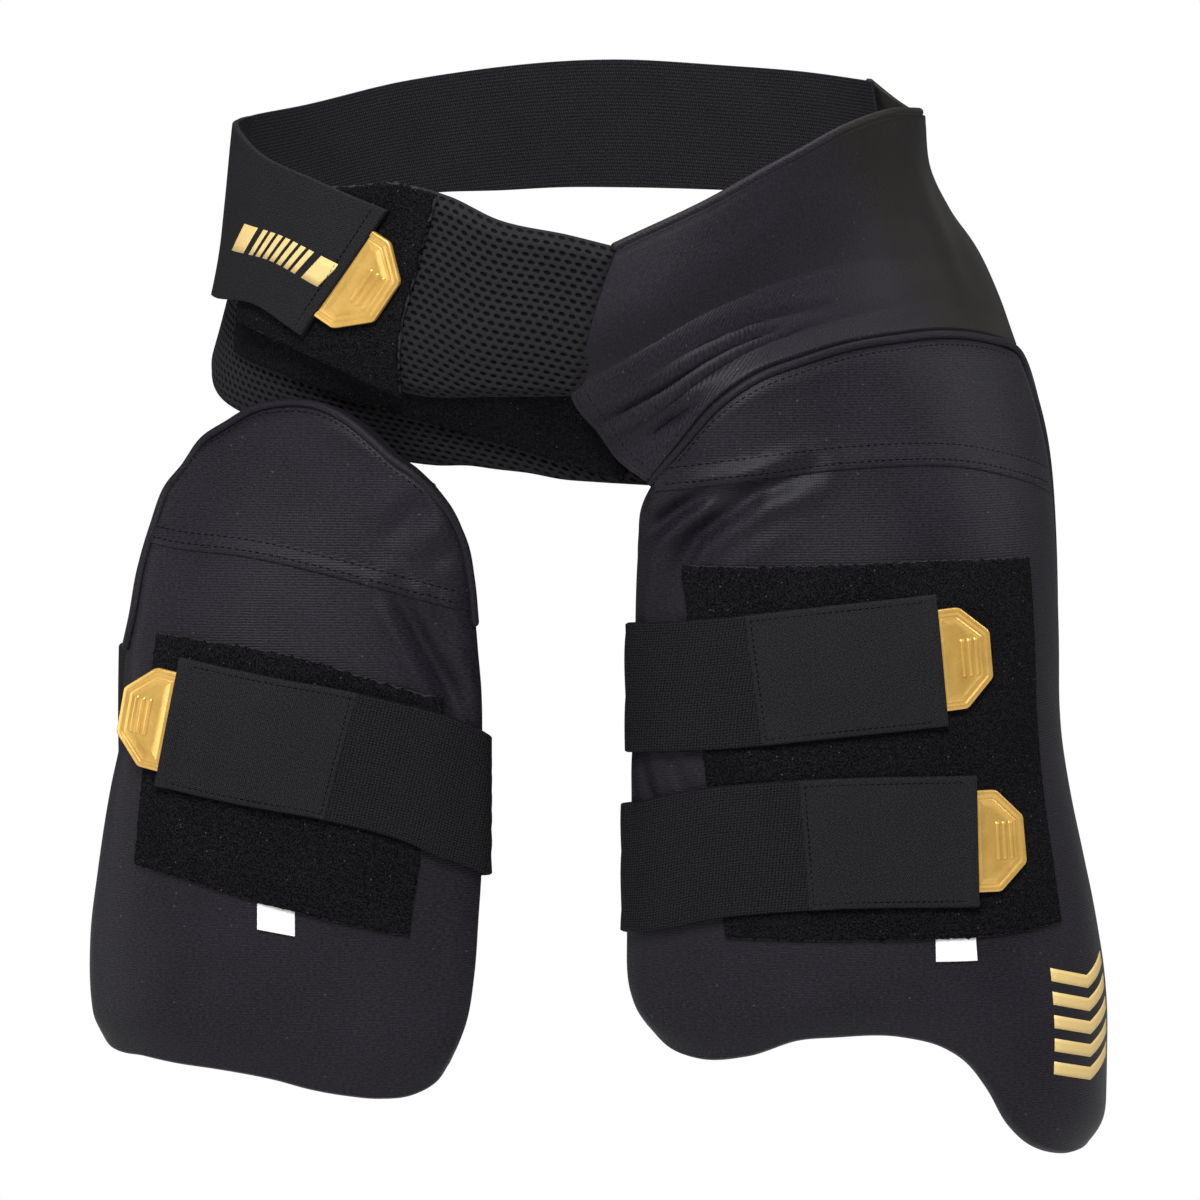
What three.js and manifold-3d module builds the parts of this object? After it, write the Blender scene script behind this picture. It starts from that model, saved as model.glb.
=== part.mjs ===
// Cricket lower-body guard: waist belt, outer thigh pad with hip panel, inner thigh pad.
// Millimetres, +Z up. The origin is the middle of the waist loop. The wearer faces -Y and the
// wearer's left leg, with the outer pad, is on the +X side. Angles are in degrees about a body's
// own upright axis, from straight ahead towards the wearer's left.
import * as THREE from 'three'
import { mergeVertices } from 'three/addons/utils/BufferGeometryUtils.js'
import Module from 'manifold-3d'

// Driving dimensions
const WAIST_LEFT = 137.5
const WAIST_RIGHT = 152
const WAIST_FRONT = 114
const WAIST_BACK = 114
const WAIST_RISE = 60
const WAIST_SPREAD = 0.19
const FRONT_TUCK = 32
const TUCK_START = 45
const TUCK_RUN = 75

const OUTER_LEG_Y = -28
const OUTER_LEG_X = 118
const OUTER_INNER_REACH = 115
const OUTER_SIDE_REACH = 94.5
const OUTER_FRONT_REACH = 90
const OUTER_PAD_TOP = -53
const OUTER_PAD_HEIGHT = 346
const OUTER_PAD_THICKNESS = 16
const HIP_LEAN = 22
const HIP_YAW = 0.5
const LEAN_RUN = 152
const WING_FLARE = 22.5
const WING_FLARE_START = 150
const WING_FLARE_RUN = 150
const WING_FLARE_ANGLE = 70

const INNER_LEG_X = -125
const INNER_LEG_Y = -22
const INNER_SIDE_REACH = 95
const INNER_INNER_REACH = 140
const INNER_FRONT_REACH = 90
const INNER_PAD_TOP = -80
const GROIN_LEAN = 27
const INNER_PAD_HEIGHT = 291
const INNER_PAD_THICKNESS = 14

const LEG_SKIN_LEFT = 70
const LEG_SKIN_RIGHT = 75
const LEG_SKIN_FRONT = 72
const LEG_SKIN_BACK = 84
const PAD_ROLL = 3.2
const PAD_ROLL_WIDTH = 14
const WALL_BULGE = 1.6

const ELASTIC_THICKNESS = 1.9
const STRAP_WIDTH = 54
const STRAP_END_THICKNESS = 3
const PATCH_THICKNESS = 1.8
const MESH_THICKNESS = 4
const PANEL_THICKNESS = 3
const PANEL_SWELL = 7
const HIP_SWELL = 4
const HIP_STAND = 20
const HEM_WIDTH = 7
const HEM_THICKNESS = 0.9
const PIPING_RADIUS = 1.9
const LOOP_STRIP_WIDTH = 34
const TAB_WIDTH = 42
const TAB_DEPTH = 21.5
const TAB_THICKNESS = 1.7
const TAB_RELIEF = 0.6
const TAB_RIM = 3
const TAB_STAND = 1
const TAB_CHAMFER = 0.27
const TAB_SHOULDER = 0.42
const TAB_RIBS = [0.36, 0.5, 0.64]
const TAB_RIB_WIDTH = 0.07
const TAB_RIB_LENGTH = 0.36
const LABEL_WIDTH = 15.5
const LABEL_HEIGHT = 9
const LABEL_THICKNESS = 0.5
const GAP = 0.3
const TAB_SEAT = 2 * GAP
const WAIST_TAB_SEAT = 4 * GAP
const LAYER_GAP = 0.6

// Small sums used everywhere
const radians = degrees => degrees * Math.PI / 180
const clamp01 = t => Math.min(1, Math.max(0, t))
const ease = t => clamp01(t) ** 2 * (3 - 2 * clamp01(t))
const mix = (a, b, t) => a + (b - a) * t
const CROWDING = 0.08
const crowd = t => t - CROWDING * Math.sin(2 * Math.PI * t)

// Millimetres that a degree runs on a leg, for spacing the rows of a table
const DEGREE_RUN = 1.7

// The bodies that the pieces lie on: each is a rounded oval about an upright axis, whose four
// half-widths may differ. lean and yaw tip the top of a leg back to meet the hip.
const WAIST = {
  x: 0, y: 0, left: WAIST_LEFT, right: WAIST_RIGHT, front: WAIST_FRONT, back: WAIST_BACK,
  power: 2.2, spread: WAIST_SPREAD, tuck: FRONT_TUCK, lean: 0, yaw: 0, flare: 0,
}
const OUTER_LEG = {
  x: OUTER_LEG_X, y: OUTER_LEG_Y, left: OUTER_INNER_REACH, right: OUTER_SIDE_REACH,
  front: OUTER_FRONT_REACH, back: LEG_SKIN_BACK, power: 2.3, spread: 0, tuck: 0,
  lean: HIP_LEAN, yaw: HIP_YAW, flare: WING_FLARE, top: OUTER_PAD_TOP,
}
const INNER_LEG = {
  x: INNER_LEG_X, y: INNER_LEG_Y, left: INNER_SIDE_REACH, right: INNER_INNER_REACH,
  front: INNER_FRONT_REACH, back: LEG_SKIN_BACK, power: 2.4, spread: 0, tuck: 0,
  lean: GROIN_LEAN, yaw: -HIP_YAW, flare: 0, top: INNER_PAD_TOP,
}
const SKIN = {
  left: LEG_SKIN_LEFT, right: LEG_SKIN_RIGHT, front: LEG_SKIN_FRONT, back: LEG_SKIN_BACK,
  power: 2.1, spread: 0, tuck: 0,
}

// Distance from a body's axis to its surface, at an angle and a height
function reach(body, angle, height) {
  const side = Math.sin(radians(angle))
  const ahead = Math.cos(radians(angle))
  const sideReach = (side > 0 ? body.right : body.left) - body.spread * height
  const tuck = ahead > 0 ? body.tuck * ease((-height - TUCK_START) / TUCK_RUN) : 0
  const rise = ahead > 0 ? 0 : body.spread * height
  const aheadReach = (ahead > 0 ? body.front : body.back) - tuck - rise
  const sum = Math.abs(side / sideReach) ** body.power + Math.abs(ahead / aheadReach) ** body.power
  return sum ** (-1 / body.power)
}

// A point on a body: lift stands it off the surface, and over is 1 on the pad's face, 0 on the leg
function onBody(body, angle, height, lift = 0, over = 1) {
  const wing = ease((body.top - height - WING_FLARE_START) / WING_FLARE_RUN) * ease(angle / WING_FLARE_ANGLE)
  const face = reach(body, angle, height) + (body.flare ? body.flare * wing : 0)
  const radius = (over < 1 ? mix(reach(SKIN, angle, height), face, over) : face) + lift
  const x = radius * Math.sin(radians(angle))
  const y = -radius * Math.cos(radians(angle))
  const tip = body.lean ? Math.max(0, 1 - (body.top - height) / LEAN_RUN) ** 2 : 0
  return new THREE.Vector3(body.x + x, body.y + y + tip * (body.lean + body.yaw * x), height)
}

// Rows of a table become objects with the columns' names
function table(columns, rows) {
  return rows.map(row => Object.fromEntries(columns.map((name, k) => [name, row[k]])))
}

// A smooth curve through the rows: cubic pieces joined with the mean slope of the pieces beside
// each row, run at a nearly even speed along angle and height
function through(rows) {
  const names = Object.keys(rows[0])
  const knots = [0]
  for (let i = 1; i < rows.length; i++) {
    const run = (rows[i].angle - rows[i - 1].angle) * DEGREE_RUN
    knots.push(knots[i - 1] + Math.hypot(run, rows[i].height - rows[i - 1].height))
  }
  const last = rows.length - 1
  const secant = (i, name) => (rows[i + 1][name] - rows[i][name]) / (knots[i + 1] - knots[i])
  const slope = (i, name) => {
    if (i === 0) return secant(0, name)
    if (i === last) return secant(last - 1, name)
    const before = knots[i] - knots[i - 1]
    const after = knots[i + 1] - knots[i]
    return (secant(i - 1, name) * after + secant(i, name) * before) / (before + after)
  }
  return t => {
    const at = clamp01(t) * knots[last]
    let i = 0
    while (i < last - 1 && knots[i + 1] < at) i++
    const h = knots[i + 1] - knots[i]
    const s = (at - knots[i]) / h
    const out = {}
    for (const name of names) {
      out[name] = (1 + 2 * s) * (1 - s) ** 2 * rows[i][name] + s * (1 - s) ** 2 * h * slope(i, name)
        + s * s * (3 - 2 * s) * rows[i + 1][name] + s * s * (s - 1) * h * slope(i + 1, name)
    }
    return out
  }
}

// A patch filled in between four edge curves, each a function from 0 to 1 that gives a triple
function filled(top, bottom, left, right) {
  return (u, v) => {
    const point = top(u).multiplyScalar(1 - v).addScaledVector(bottom(u), v)
    point.addScaledVector(left(v), 1 - u).addScaledVector(right(v), u)
    point.addScaledVector(top(0), -(1 - u) * (1 - v)).addScaledVector(top(1), -u * (1 - v))
    return point.addScaledVector(bottom(0), -(1 - u) * v).addScaledVector(bottom(1), -u * v)
  }
}
const straight = (from, to) => t => from.clone().lerp(to, t)

// Edge curves in a body's own angle, height and lift
const asTriple = row => new THREE.Vector3(row.angle, row.height, row.lift ?? 0)
const edge = rows => {
  const curve = through(rows)
  return t => asTriple(curve(t))
}
const laidOn = (body, flat) => (u, v) => {
  const { x, y, z } = flat(u, v)
  return onBody(body, x, y, z)
}

// Unit normal of a surface, away from the body
function normalOf(surface, u, v) {
  const step = 0.002
  const across = surface(Math.min(1, u + step), v).sub(surface(Math.max(0, u - step), v))
  const down = surface(u, Math.min(1, v + step)).sub(surface(u, Math.max(0, v - step)))
  return down.cross(across).normalize()
}

function meshOf(positions, triangles) {
  const geometry = new THREE.BufferGeometry()
  geometry.setAttribute('position', new THREE.Float32BufferAttribute(positions.flatMap(p => [p.x, p.y, p.z]), 3))
  geometry.setIndex(triangles)
  geometry.computeVertexNormals()
  return geometry
}

// A closed sheet of cloth or foam: the surface at its inner and outer offset, and a wall round the
// edge that may bulge. across and down count the cells, and placeU and placeV space their lines.
function sheet(surface, across, down, inner, outer, bulge = 0, placeU = t => t, placeV = t => t) {
  const points = []
  const normals = []
  const total = (across + 1) * (down + 1)
  const corner = (i, j) => j * (across + 1) + i
  for (let j = 0; j <= down; j++) {
    for (let i = 0; i <= across; i++) {
      const u = placeU(i / across)
      const v = placeV(j / down)
      const normal = normalOf(surface, u, v)
      normals.push(normal)
      points.push(surface(u, v).addScaledVector(normal, outer(u, v)))
    }
  }
  for (let j = 0; j <= down; j++) {
    for (let i = 0; i <= across; i++) {
      const at = surface(placeU(i / across), placeV(j / down))
      points.push(at.addScaledVector(normals[corner(i, j)], inner))
    }
  }
  const triangles = []
  for (let j = 0; j < down; j++) {
    for (let i = 0; i < across; i++) {
      const a = corner(i, j)
      const b = corner(i + 1, j)
      const c = corner(i + 1, j + 1)
      const d = corner(i, j + 1)
      triangles.push(a, d, c, a, c, b)
      triangles.push(a + total, c + total, d + total, a + total, b + total, c + total)
    }
  }
  const ring = []
  for (let j = 0; j < down; j++) ring.push(corner(0, j))
  for (let i = 0; i < across; i++) ring.push(corner(i, down))
  for (let j = down; j > 0; j--) ring.push(corner(across, j))
  for (let i = across; i > 0; i--) ring.push(corner(i, 0))
  const rows = [ring]
  if (bulge) {
    const middle = ring.map((at, k) => {
      const before = points[ring[(k + ring.length - 1) % ring.length]]
      const after = points[ring[(k + 1) % ring.length]]
      const outward = after.clone().sub(before).cross(normals[at]).normalize()
      points.push(points[at].clone().lerp(points[at + total], 0.5).addScaledVector(outward, bulge))
      return points.length - 1
    })
    rows.push(middle)
  }
  rows.push(ring.map(at => at + total))
  for (let r = 0; r + 1 < rows.length; r++) {
    for (let k = 0; k < ring.length; k++) {
      const next = (k + 1) % ring.length
      triangles.push(rows[r][k], rows[r + 1][k], rows[r + 1][next])
      triangles.push(rows[r][k], rows[r + 1][next], rows[r][next])
    }
  }
  return meshOf(points, triangles)
}

// A round cord of cloth along a line of points
function piping(points, radius, steps) {
  const circle = new THREE.Shape().absarc(0, 0, radius, 0, 2 * Math.PI)
  const path = new THREE.CatmullRomCurve3(points, false, 'centripetal')
  return new THREE.ExtrudeGeometry(circle, { steps, curveSegments: 3, extrudePath: path })
}

// Materials
const cloth = (color, roughness) => new THREE.MeshStandardMaterial({ color, roughness, metalness: 0 })
const knit = cloth(0x17161c, 0.6)
const elastic = cloth(0x131317, 0.8)
const facing = cloth(0x16161a, 0.75)
const loopPile = cloth(0x0d0d10, 0.95)
const spacerMesh = cloth(0x18181b, 0.85)
const goldRubber = new THREE.MeshStandardMaterial({ color: 0xd9a441, roughness: 0.4, metalness: 0.45 })
const labelCloth = cloth(0xf2f2f0, 0.8)

const guard = new THREE.Group()
function add(name, geometry, material) {
  const mesh = new THREE.Mesh(geometry, material)
  mesh.name = name
  guard.add(mesh)
}

// Heights from the tables: shares of the belt's rise, or of a pad's height below its top
const waistRows = (columns, rows) => table(columns, rows).map(
  row => ({ angle: row.angle, height: row.rise * WAIST_RISE, lift: row.lift ?? 0 }))
const padRows = (top, height, rows) => table(['angle', 'drop'], rows).map(
  row => ({ angle: row.angle, height: top - row.drop * height }))
const outerRows = rows => padRows(OUTER_PAD_TOP, OUTER_PAD_HEIGHT, rows)
const innerRows = rows => padRows(INNER_PAD_TOP, INNER_PAD_HEIGHT, rows)
const liftedBy = (rows, lift) => rows.map(row => ({ ...row, lift: (row.lift ?? 0) + lift }))

// Outer pad: its four edges, top and bottom from left to right, sides from top to bottom
const OUTER_TOP = outerRows([
  [-51.5, 0.178], [-43.8, 0.136], [-34.1, 0.083], [-24.3, 0.051], [-14, 0.033], [-0.6, 0.015],
  [13.2, 0.005], [27.4, 0], [40, 0.006], [53, 0.022],
])
const OUTER_RIGHT = outerRows([
  [53, 0.022], [63, 0.09], [70, 0.142], [74, 0.182], [77, 0.231], [79, 0.275], [81, 0.321],
  [83, 0.367], [86, 0.41], [93, 0.497], [102, 0.598], [108, 0.714], [110, 0.829], [106, 0.91], [98, 0.965], [86, 0.992],
])
const OUTER_BOTTOM = outerRows([
  [-54.4, 0.846], [-47.6, 0.87], [-40.9, 0.877], [-28.2, 0.87], [-14.2, 0.848], [-4.3, 0.844],
  [13, 0.843], [23.2, 0.855], [29.4, 0.874], [35.6, 0.911], [41.6, 0.959], [46.6, 0.982],
  [57, 1.002], [72, 1.004], [86, 0.992],
])
const OUTER_LEFT = outerRows([
  [-51.5, 0.178], [-54.2, 0.2], [-56.2, 0.271], [-57, 0.364], [-57.6, 0.445], [-58.2, 0.584], [-59.6, 0.73], [-58.8, 0.8], [-54.4, 0.846],
])

// Inner pad
const INNER_TOP = innerRows([
  [-28.7, 0.126], [-24.4, 0.098], [-19, 0.057], [-12.4, 0.034], [-5.7, 0.013], [4.6, 0.002],
  [12.4, 0.006], [19.6, 0.025], [26.4, 0.057], [31, 0.083], [34.8, 0.1], [39.2, 0.127],
])
const INNER_RIGHT = innerRows([
  [39.2, 0.127], [43.2, 0.16], [46.2, 0.203], [47.7, 0.258], [48.5, 0.319], [49.6, 0.412], [50, 0.55], [49.8, 0.676], [49.1, 0.751], [48.2, 0.833], [46.6, 0.9], [43.2, 0.96],
])
const INNER_BOTTOM = innerRows([
  [-54.6, 0.925], [-49.6, 0.945], [-37.5, 0.95], [-26.5, 0.956], [-16, 0.961], [0.6, 0.976],
  [10.8, 0.991], [20.3, 1.001], [28.1, 1.006], [35, 1.003], [40.4, 0.986], [43.2, 0.96],
])
const INNER_LEFT = innerRows([
  [-28.7, 0.126], [-32.5, 0.181], [-36.1, 0.249], [-38.2, 0.314], [-40, 0.354], [-42.5, 0.498],
  [-46, 0.56], [-52.4, 0.689], [-57.2, 0.795], [-57.6, 0.862], [-54.6, 0.925],
])

// A foam pad in its cover: full thickness in the middle, rolled down to the seam round its edge
function pad(body, edges, thickness, width, height, across, down) {
  const surface = laidOn(body, filled(edge(edges.top), edge(edges.bottom), edge(edges.left), edge(edges.right)))
  const rolled = share => Math.sin(Math.PI / 2 * clamp01(share))
  const crown = (u, v) => rolled(u * width / PAD_ROLL_WIDTH) * rolled((1 - u) * width / PAD_ROLL_WIDTH)
    * rolled(v * height / PAD_ROLL_WIDTH) * rolled((1 - v) * height / PAD_ROLL_WIDTH)
  return sheet(surface, across, down, -thickness, (u, v) => -PAD_ROLL * (1 - crown(u, v)), WALL_BULGE,
    crowd, crowd)
}
const outerEdges = { top: OUTER_TOP, right: OUTER_RIGHT, bottom: OUTER_BOTTOM, left: OUTER_LEFT }
const innerEdges = { top: INNER_TOP, right: INNER_RIGHT, bottom: INNER_BOTTOM, left: INNER_LEFT }
const OUTER_FACE_WIDTH = 2.3 * OUTER_SIDE_REACH
const INNER_FACE_WIDTH = 1.8 * INNER_SIDE_REACH
add('outer_thigh_pad', pad(OUTER_LEG, outerEdges, OUTER_PAD_THICKNESS, OUTER_FACE_WIDTH, OUTER_PAD_HEIGHT, 18, 22), knit)
add('inner_thigh_pad', pad(INNER_LEG, innerEdges, INNER_PAD_THICKNESS, INNER_FACE_WIDTH, INNER_PAD_HEIGHT, 16, 20), knit)

// Points beside a curve of edge rows: moved outwards in the body's surface by a distance, and off it
// by a depth
function besideEdge(body, rows, distance, depth, count) {
  const curve = through(rows)
  const place = (t, degrees = 0, rise = 0) => {
    const { angle, height } = curve(clamp01(t))
    return onBody(body, angle + degrees, height + rise)
  }
  return Array.from({ length: count }, (_, k) => {
    const t = k / (count - 1)
    const along = place(t + 0.01).sub(place(t - 0.01))
    const normal = place(t, 0.5).sub(place(t, -0.5)).cross(place(t, 0, 1).sub(place(t, 0, -1))).normalize()
    const outward = normal.clone().cross(along).normalize()
    return place(t).addScaledVector(outward, distance).addScaledVector(normal, depth)
  })
}
const outerSeat = PIPING_RADIUS + WALL_BULGE - GAP
const innerSeat = PIPING_RADIUS + 2 * GAP
const outerPipedEdge = [...OUTER_TOP, ...OUTER_RIGHT.slice(1, 10)]
const innerPipedEdge = [...INNER_LEFT.slice(1, 5).reverse(), ...INNER_TOP, ...INNER_RIGHT.slice(1, 5)]
add('outer_piping', piping(besideEdge(OUTER_LEG, outerPipedEdge, outerSeat, -PAD_ROLL, 34), PIPING_RADIUS, 36), knit)
add('inner_piping', piping(besideEdge(INNER_LEG, innerPipedEdge, innerSeat, -PAD_ROLL, 34), PIPING_RADIUS, 36), knit)

// Pocket hems: a narrow doubled band across the face of each pad
function band(body, path, width, from = 0, to = 1) {
  return (u, v) => {
    const t = mix(from, to, u)
    const here = path(t)
    const before = path(Math.max(0, t - 0.005))
    const after = path(Math.min(1, t + 0.005))
    const degreeRun = radians(1) * reach(body, here.angle, here.height)
    const run = (after.angle - before.angle) * degreeRun
    const rise = after.height - before.height
    const up = (0.5 - v) * width / Math.hypot(run, rise)
    const angle = here.angle - rise * up / degreeRun
    const { lift, over } = path(shareAt(path, angle))
    return onBody(body, angle, here.height + run * up, lift, over)
  }
}
const OUTER_HEM = outerRows([
  [-46, 0.184], [-26.7, 0.166], [-0.6, 0.148], [30.2, 0.149], [46.9, 0.164], [66, 0.184],
])
const INNER_HEM = innerRows([[-27, 0.201], [-5.4, 0.212], [24.2, 0.248], [42, 0.28]])
const hemBand = (body, rows) => sheet(
  band(body, through(liftedBy(rows, LAYER_GAP)), HEM_WIDTH), 16, 1, 0, () => HEM_THICKNESS)
add('outer_pocket_hem', hemBand(OUTER_LEG, OUTER_HEM), knit)
add('inner_pocket_hem', hemBand(INNER_LEG, INNER_HEM), knit)

// Loop patches sewn on the faces
const corners = (body, rows) => ({
  top: edge(liftedBy(rows.top, LAYER_GAP)), bottom: edge(liftedBy(rows.bottom, LAYER_GAP)),
  left: edge(liftedBy(rows.left, LAYER_GAP)), right: edge(liftedBy(rows.right, LAYER_GAP)),
})
function loopPatch(body, rows, across, down) {
  const { top, bottom, left, right } = corners(body, rows)
  return sheet(laidOn(body, filled(top, bottom, left, right)), across, down, 0, () => PATCH_THICKNESS)
}
const OUTER_PATCH = {
  top: outerRows([[-43.1, 0.276], [-16.8, 0.275], [20.4, 0.27], [50.4, 0.272]]),
  bottom: outerRows([[-32.2, 0.723], [-2.1, 0.723], [37.1, 0.719], [52.8, 0.713]]),
  left: outerRows([[-43.1, 0.276], [-32.2, 0.723]]),
  right: outerRows([[50.4, 0.272], [52, 0.36], [53, 0.466], [52.8, 0.713]]),
}
const INNER_PATCH = {
  top: innerRows([[-29.2, 0.334], [7.7, 0.365], [41.3, 0.426]]),
  bottom: innerRows([[-35.7, 0.667], [-23.2, 0.682], [-1, 0.718], [34.2, 0.767]]),
  left: innerRows([[-29.2, 0.334], [-35.7, 0.667]]),
  right: innerRows([[41.3, 0.426], [34.2, 0.767]]),
}
add('outer_loop_patch', loopPatch(OUTER_LEG, OUTER_PATCH, 12, 8), loopPile)
add('inner_loop_patch', loopPatch(INNER_LEG, INNER_PATCH, 10, 7), loopPile)

// Labels that show below the patches
function label(body, angle, height, tilt) {
  const half = LABEL_WIDTH / 2 / (radians(1) * reach(body, angle, height))
  const top = t => new THREE.Vector3(mix(angle - half, angle + half, t), height - tilt * (t - 0.5), LAYER_GAP)
  const bottom = t => top(t).add(new THREE.Vector3(0, -LABEL_HEIGHT, 0))
  const flat = filled(top, bottom, straight(top(0), bottom(0)), straight(top(1), bottom(1)))
  return sheet(laidOn(body, flat), 2, 1, 0, () => LABEL_THICKNESS)
}
const belowPatch = (patch, share) => through(patch.bottom)(share)
const outerLabelAt = belowPatch(OUTER_PATCH, 0.68)
const innerLabelAt = belowPatch(INNER_PATCH, 0.54)
add('outer_label', label(OUTER_LEG, outerLabelAt.angle, outerLabelAt.height - 2 * GAP, 0), labelCloth)
add('inner_label', label(INNER_LEG, innerLabelAt.angle, innerLabelAt.height - 2, 3), labelCloth)

// Thigh straps: each is one loop round the leg. It is sewn inside the pad's outer edge, goes round
// the back on the leg, and comes back over the pad's face to its stitched end and pull tab.
const strapRows = (make, rows) => table(['angle', 'drop', 'over', 'lift'], rows).map(row => ({
  ...make([[row.angle, row.drop]])[0], over: row.over, lift: row.lift }))
const onPatch = LAYER_GAP + PATCH_THICKNESS + LAYER_GAP
const UPPER_STRAP = strapRows(outerRows, [
  [-290, 0.40, 0, 1.4], [-276, 0.41, 0, 0.2], [-255, 0.425, 0, 0.6], [-215, 0.44, 0, 0.6],
  [-180, 0.45, 0, 0.6], [-140, 0.45, 0, 0.6], [-108, 0.445, 0, 0.6], [-90, 0.441, 0.07, 0.6],
  [-75, 0.436, 0.27, 0.6], [-66, 0.433, 0.5, 1], [-60.5, 0.43, 0.76, 2.4], [-57.5, 0.428, 1, 1.4],
  [-54.4, 0.426, 1, 2.2], [-35.5, 0.417, 1, onPatch],
  [-10.4, 0.402, 1, onPatch], [21.7, 0.387, 1, onPatch],
])
const LOWER_STRAP = strapRows(outerRows, [
  [-292, 0.60, 0, 5], [-276, 0.61, 0, 2.6], [-255, 0.625, 0, 0.8], [-215, 0.65, 0, 0.6],
  [-180, 0.67, 0, 0.6], [-140, 0.678, 0, 0.6], [-108, 0.674, 0, 0.6], [-90, 0.668, 0.07, 0.6],
  [-75, 0.66, 0.27, 0.6], [-67, 0.656, 0.5, 1], [-61.5, 0.652, 0.76, 2.4], [-58.5, 0.65, 1, 1.4],
  [-55.4, 0.647, 1, 2.2], [-35, 0.621, 1, onPatch],
  [-12.9, 0.608, 1, onPatch], [7.3, 0.604, 1, onPatch], [30.3, 0.605, 1, onPatch],
])
const INNER_STRAP = strapRows(innerRows, [
  [-24.9, 0.458, 1, onPatch], [-2, 0.484, 1, onPatch], [18.4, 0.506, 1, onPatch],
  [39.8, 0.548, 1, onPatch], [46.5, 0.572, 1, 2.6], [50.2, 0.584, 1, 2], [53.4, 0.594, 0.83, 2.2],
  [60, 0.606, 0.47, 1], [72, 0.618, 0.18, 0.8], [90, 0.624, 0.03, 0.8], [130, 0.62, 0, 0.6],
  [180, 0.58, 0, 0.6], [225, 0.53, 0, 0.6], [262, 0.49, 0, 0.6], [292, 0.46, 0, 1.6], [322, 0.445, 0, 3],
])

// The share of a path at which it reaches an angle
function shareAt(path, angle) {
  let low = 0
  let high = 1
  for (let k = 0; k < 40; k++) {
    const middle = (low + high) / 2
    if (path(middle).angle < angle) low = middle
    else high = middle
  }
  return low
}

// Pull tab: a half octagon with a raised rim and grip ribs, in its own flat coordinates (out from
// the strap's end, along the end), joined as one solid and then bent onto the strap's surface
const wasm = await Module()
wasm.setup()
function solidOf(geometry) {
  geometry.deleteAttribute('normal')
  geometry.deleteAttribute('uv')
  const merged = mergeVertices(geometry, 1e-4)
  const vertProperties = new Float32Array(merged.attributes.position.array)
  return new wasm.Manifold(new wasm.Mesh({ numProp: 3, vertProperties, triVerts: new Uint32Array(merged.index.array) }))
}
function tabOutline(inset) {
  const half = TAB_WIDTH / 2 - inset
  const out = TAB_DEPTH - inset
  const shoulder = out * TAB_SHOULDER
  const chamfer = TAB_WIDTH * TAB_CHAMFER
  return [[inset, -half], [shoulder, -half], [out, chamfer - half], [out, half - chamfer], [shoulder, half],
    [inset, half]].map(([x, y]) => new THREE.Vector2(x, y))
}
function slabOf(shape, depth, z) {
  return solidOf(new THREE.ExtrudeGeometry(shape, { depth, bevelEnabled: false }).translate(0, 0, z))
}
function tabSolid() {
  let solid = slabOf(new THREE.Shape(tabOutline(0)), TAB_THICKNESS, 0)
  const rim = new THREE.Shape(tabOutline(0))
  rim.holes.push(new THREE.Path(tabOutline(TAB_RIM)))
  solid = solid.add(slabOf(rim, TAB_RELIEF, TAB_THICKNESS - 0.01))
  for (const share of TAB_RIBS) {
    const rib = new THREE.BoxGeometry(TAB_DEPTH * TAB_RIB_WIDTH, TAB_WIDTH * TAB_RIB_LENGTH, TAB_RELIEF)
    solid = solid.add(solidOf(rib.translate(TAB_DEPTH * share, 0, TAB_THICKNESS + TAB_RELIEF / 2 - 0.01)))
  }
  const { vertProperties, triVerts } = solid.getMesh()
  const points = []
  for (let k = 0; k < vertProperties.length; k += 3) {
    points.push(new THREE.Vector3(vertProperties[k], vertProperties[k + 1], vertProperties[k + 2]))
  }
  return { points, triangles: Array.from(triVerts) }
}
const TAB = tabSolid()

// side is 1 where the strap's end faces growing angles and -1 where it faces falling ones
function pullTab(body, path, side, lift, seat) {
  const end = path(side > 0 ? 1 : 0)
  const inside = path(side > 0 ? 0.98 : 0.02)
  const degreeRun = onBody(body, end.angle + 0.5, end.height)
    .distanceTo(onBody(body, end.angle - 0.5, end.height))
  const run = (end.angle - inside.angle) * degreeRun
  const rise = end.height - inside.height
  const length = Math.hypot(run, rise)
  const points = TAB.points.map(p => {
    const out = p.x + seat
    const along = p.y
    const angle = end.angle + (out * run - along * rise) / length / degreeRun
    const height = end.height + (out * rise + along * run) / length
    return onBody(body, angle, height, lift + p.z)
  })
  return meshOf(points, TAB.triangles)
}

// Cells of a strap crowd where it turns round the pad's edge
const CORNER_SPAN = 0.07
const CORNER_CELLS = 0.36
function crowdedAt(corner) {
  const start = corner * (1 - CORNER_CELLS)
  const end = start + CORNER_CELLS
  return t => {
    if (t < start) return mix(0, corner - CORNER_SPAN, t / start)
    if (t > end) return mix(corner + CORNER_SPAN, 1, (t - end) / (1 - end))
    return mix(corner - CORNER_SPAN, corner + CORNER_SPAN, (t - start) / CORNER_CELLS)
  }
}

function thighStrap(name, body, rows, joinAngle, edgeAngle, side) {
  const path = through(rows)
  const join = shareAt(path, joinAngle)
  const lap = GAP / 500
  const [from, to] = side > 0 ? [0, join - lap] : [join + lap, 1]
  const [endFrom, endTo] = side > 0 ? [join + lap, 1] : [0, join - lap]
  const still = outer => () => outer
  const corner = (shareAt(path, edgeAngle) - from) / (to - from)
  add(name, sheet(band(body, path, STRAP_WIDTH, from, to), 44, 2, 0, still(ELASTIC_THICKNESS), 0,
    crowdedAt(corner)), elastic)
  add(`${name}_end`, sheet(band(body, path, STRAP_WIDTH, endFrom, endTo), 8, 3, 0, still(STRAP_END_THICKNESS)), facing)
  return path
}
const upperPath = thighStrap('outer_strap_upper', OUTER_LEG, UPPER_STRAP, -25, -58.5, 1)
const lowerPath = thighStrap('outer_strap_lower', OUTER_LEG, LOWER_STRAP, -12.6, -59.5, 1)
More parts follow.
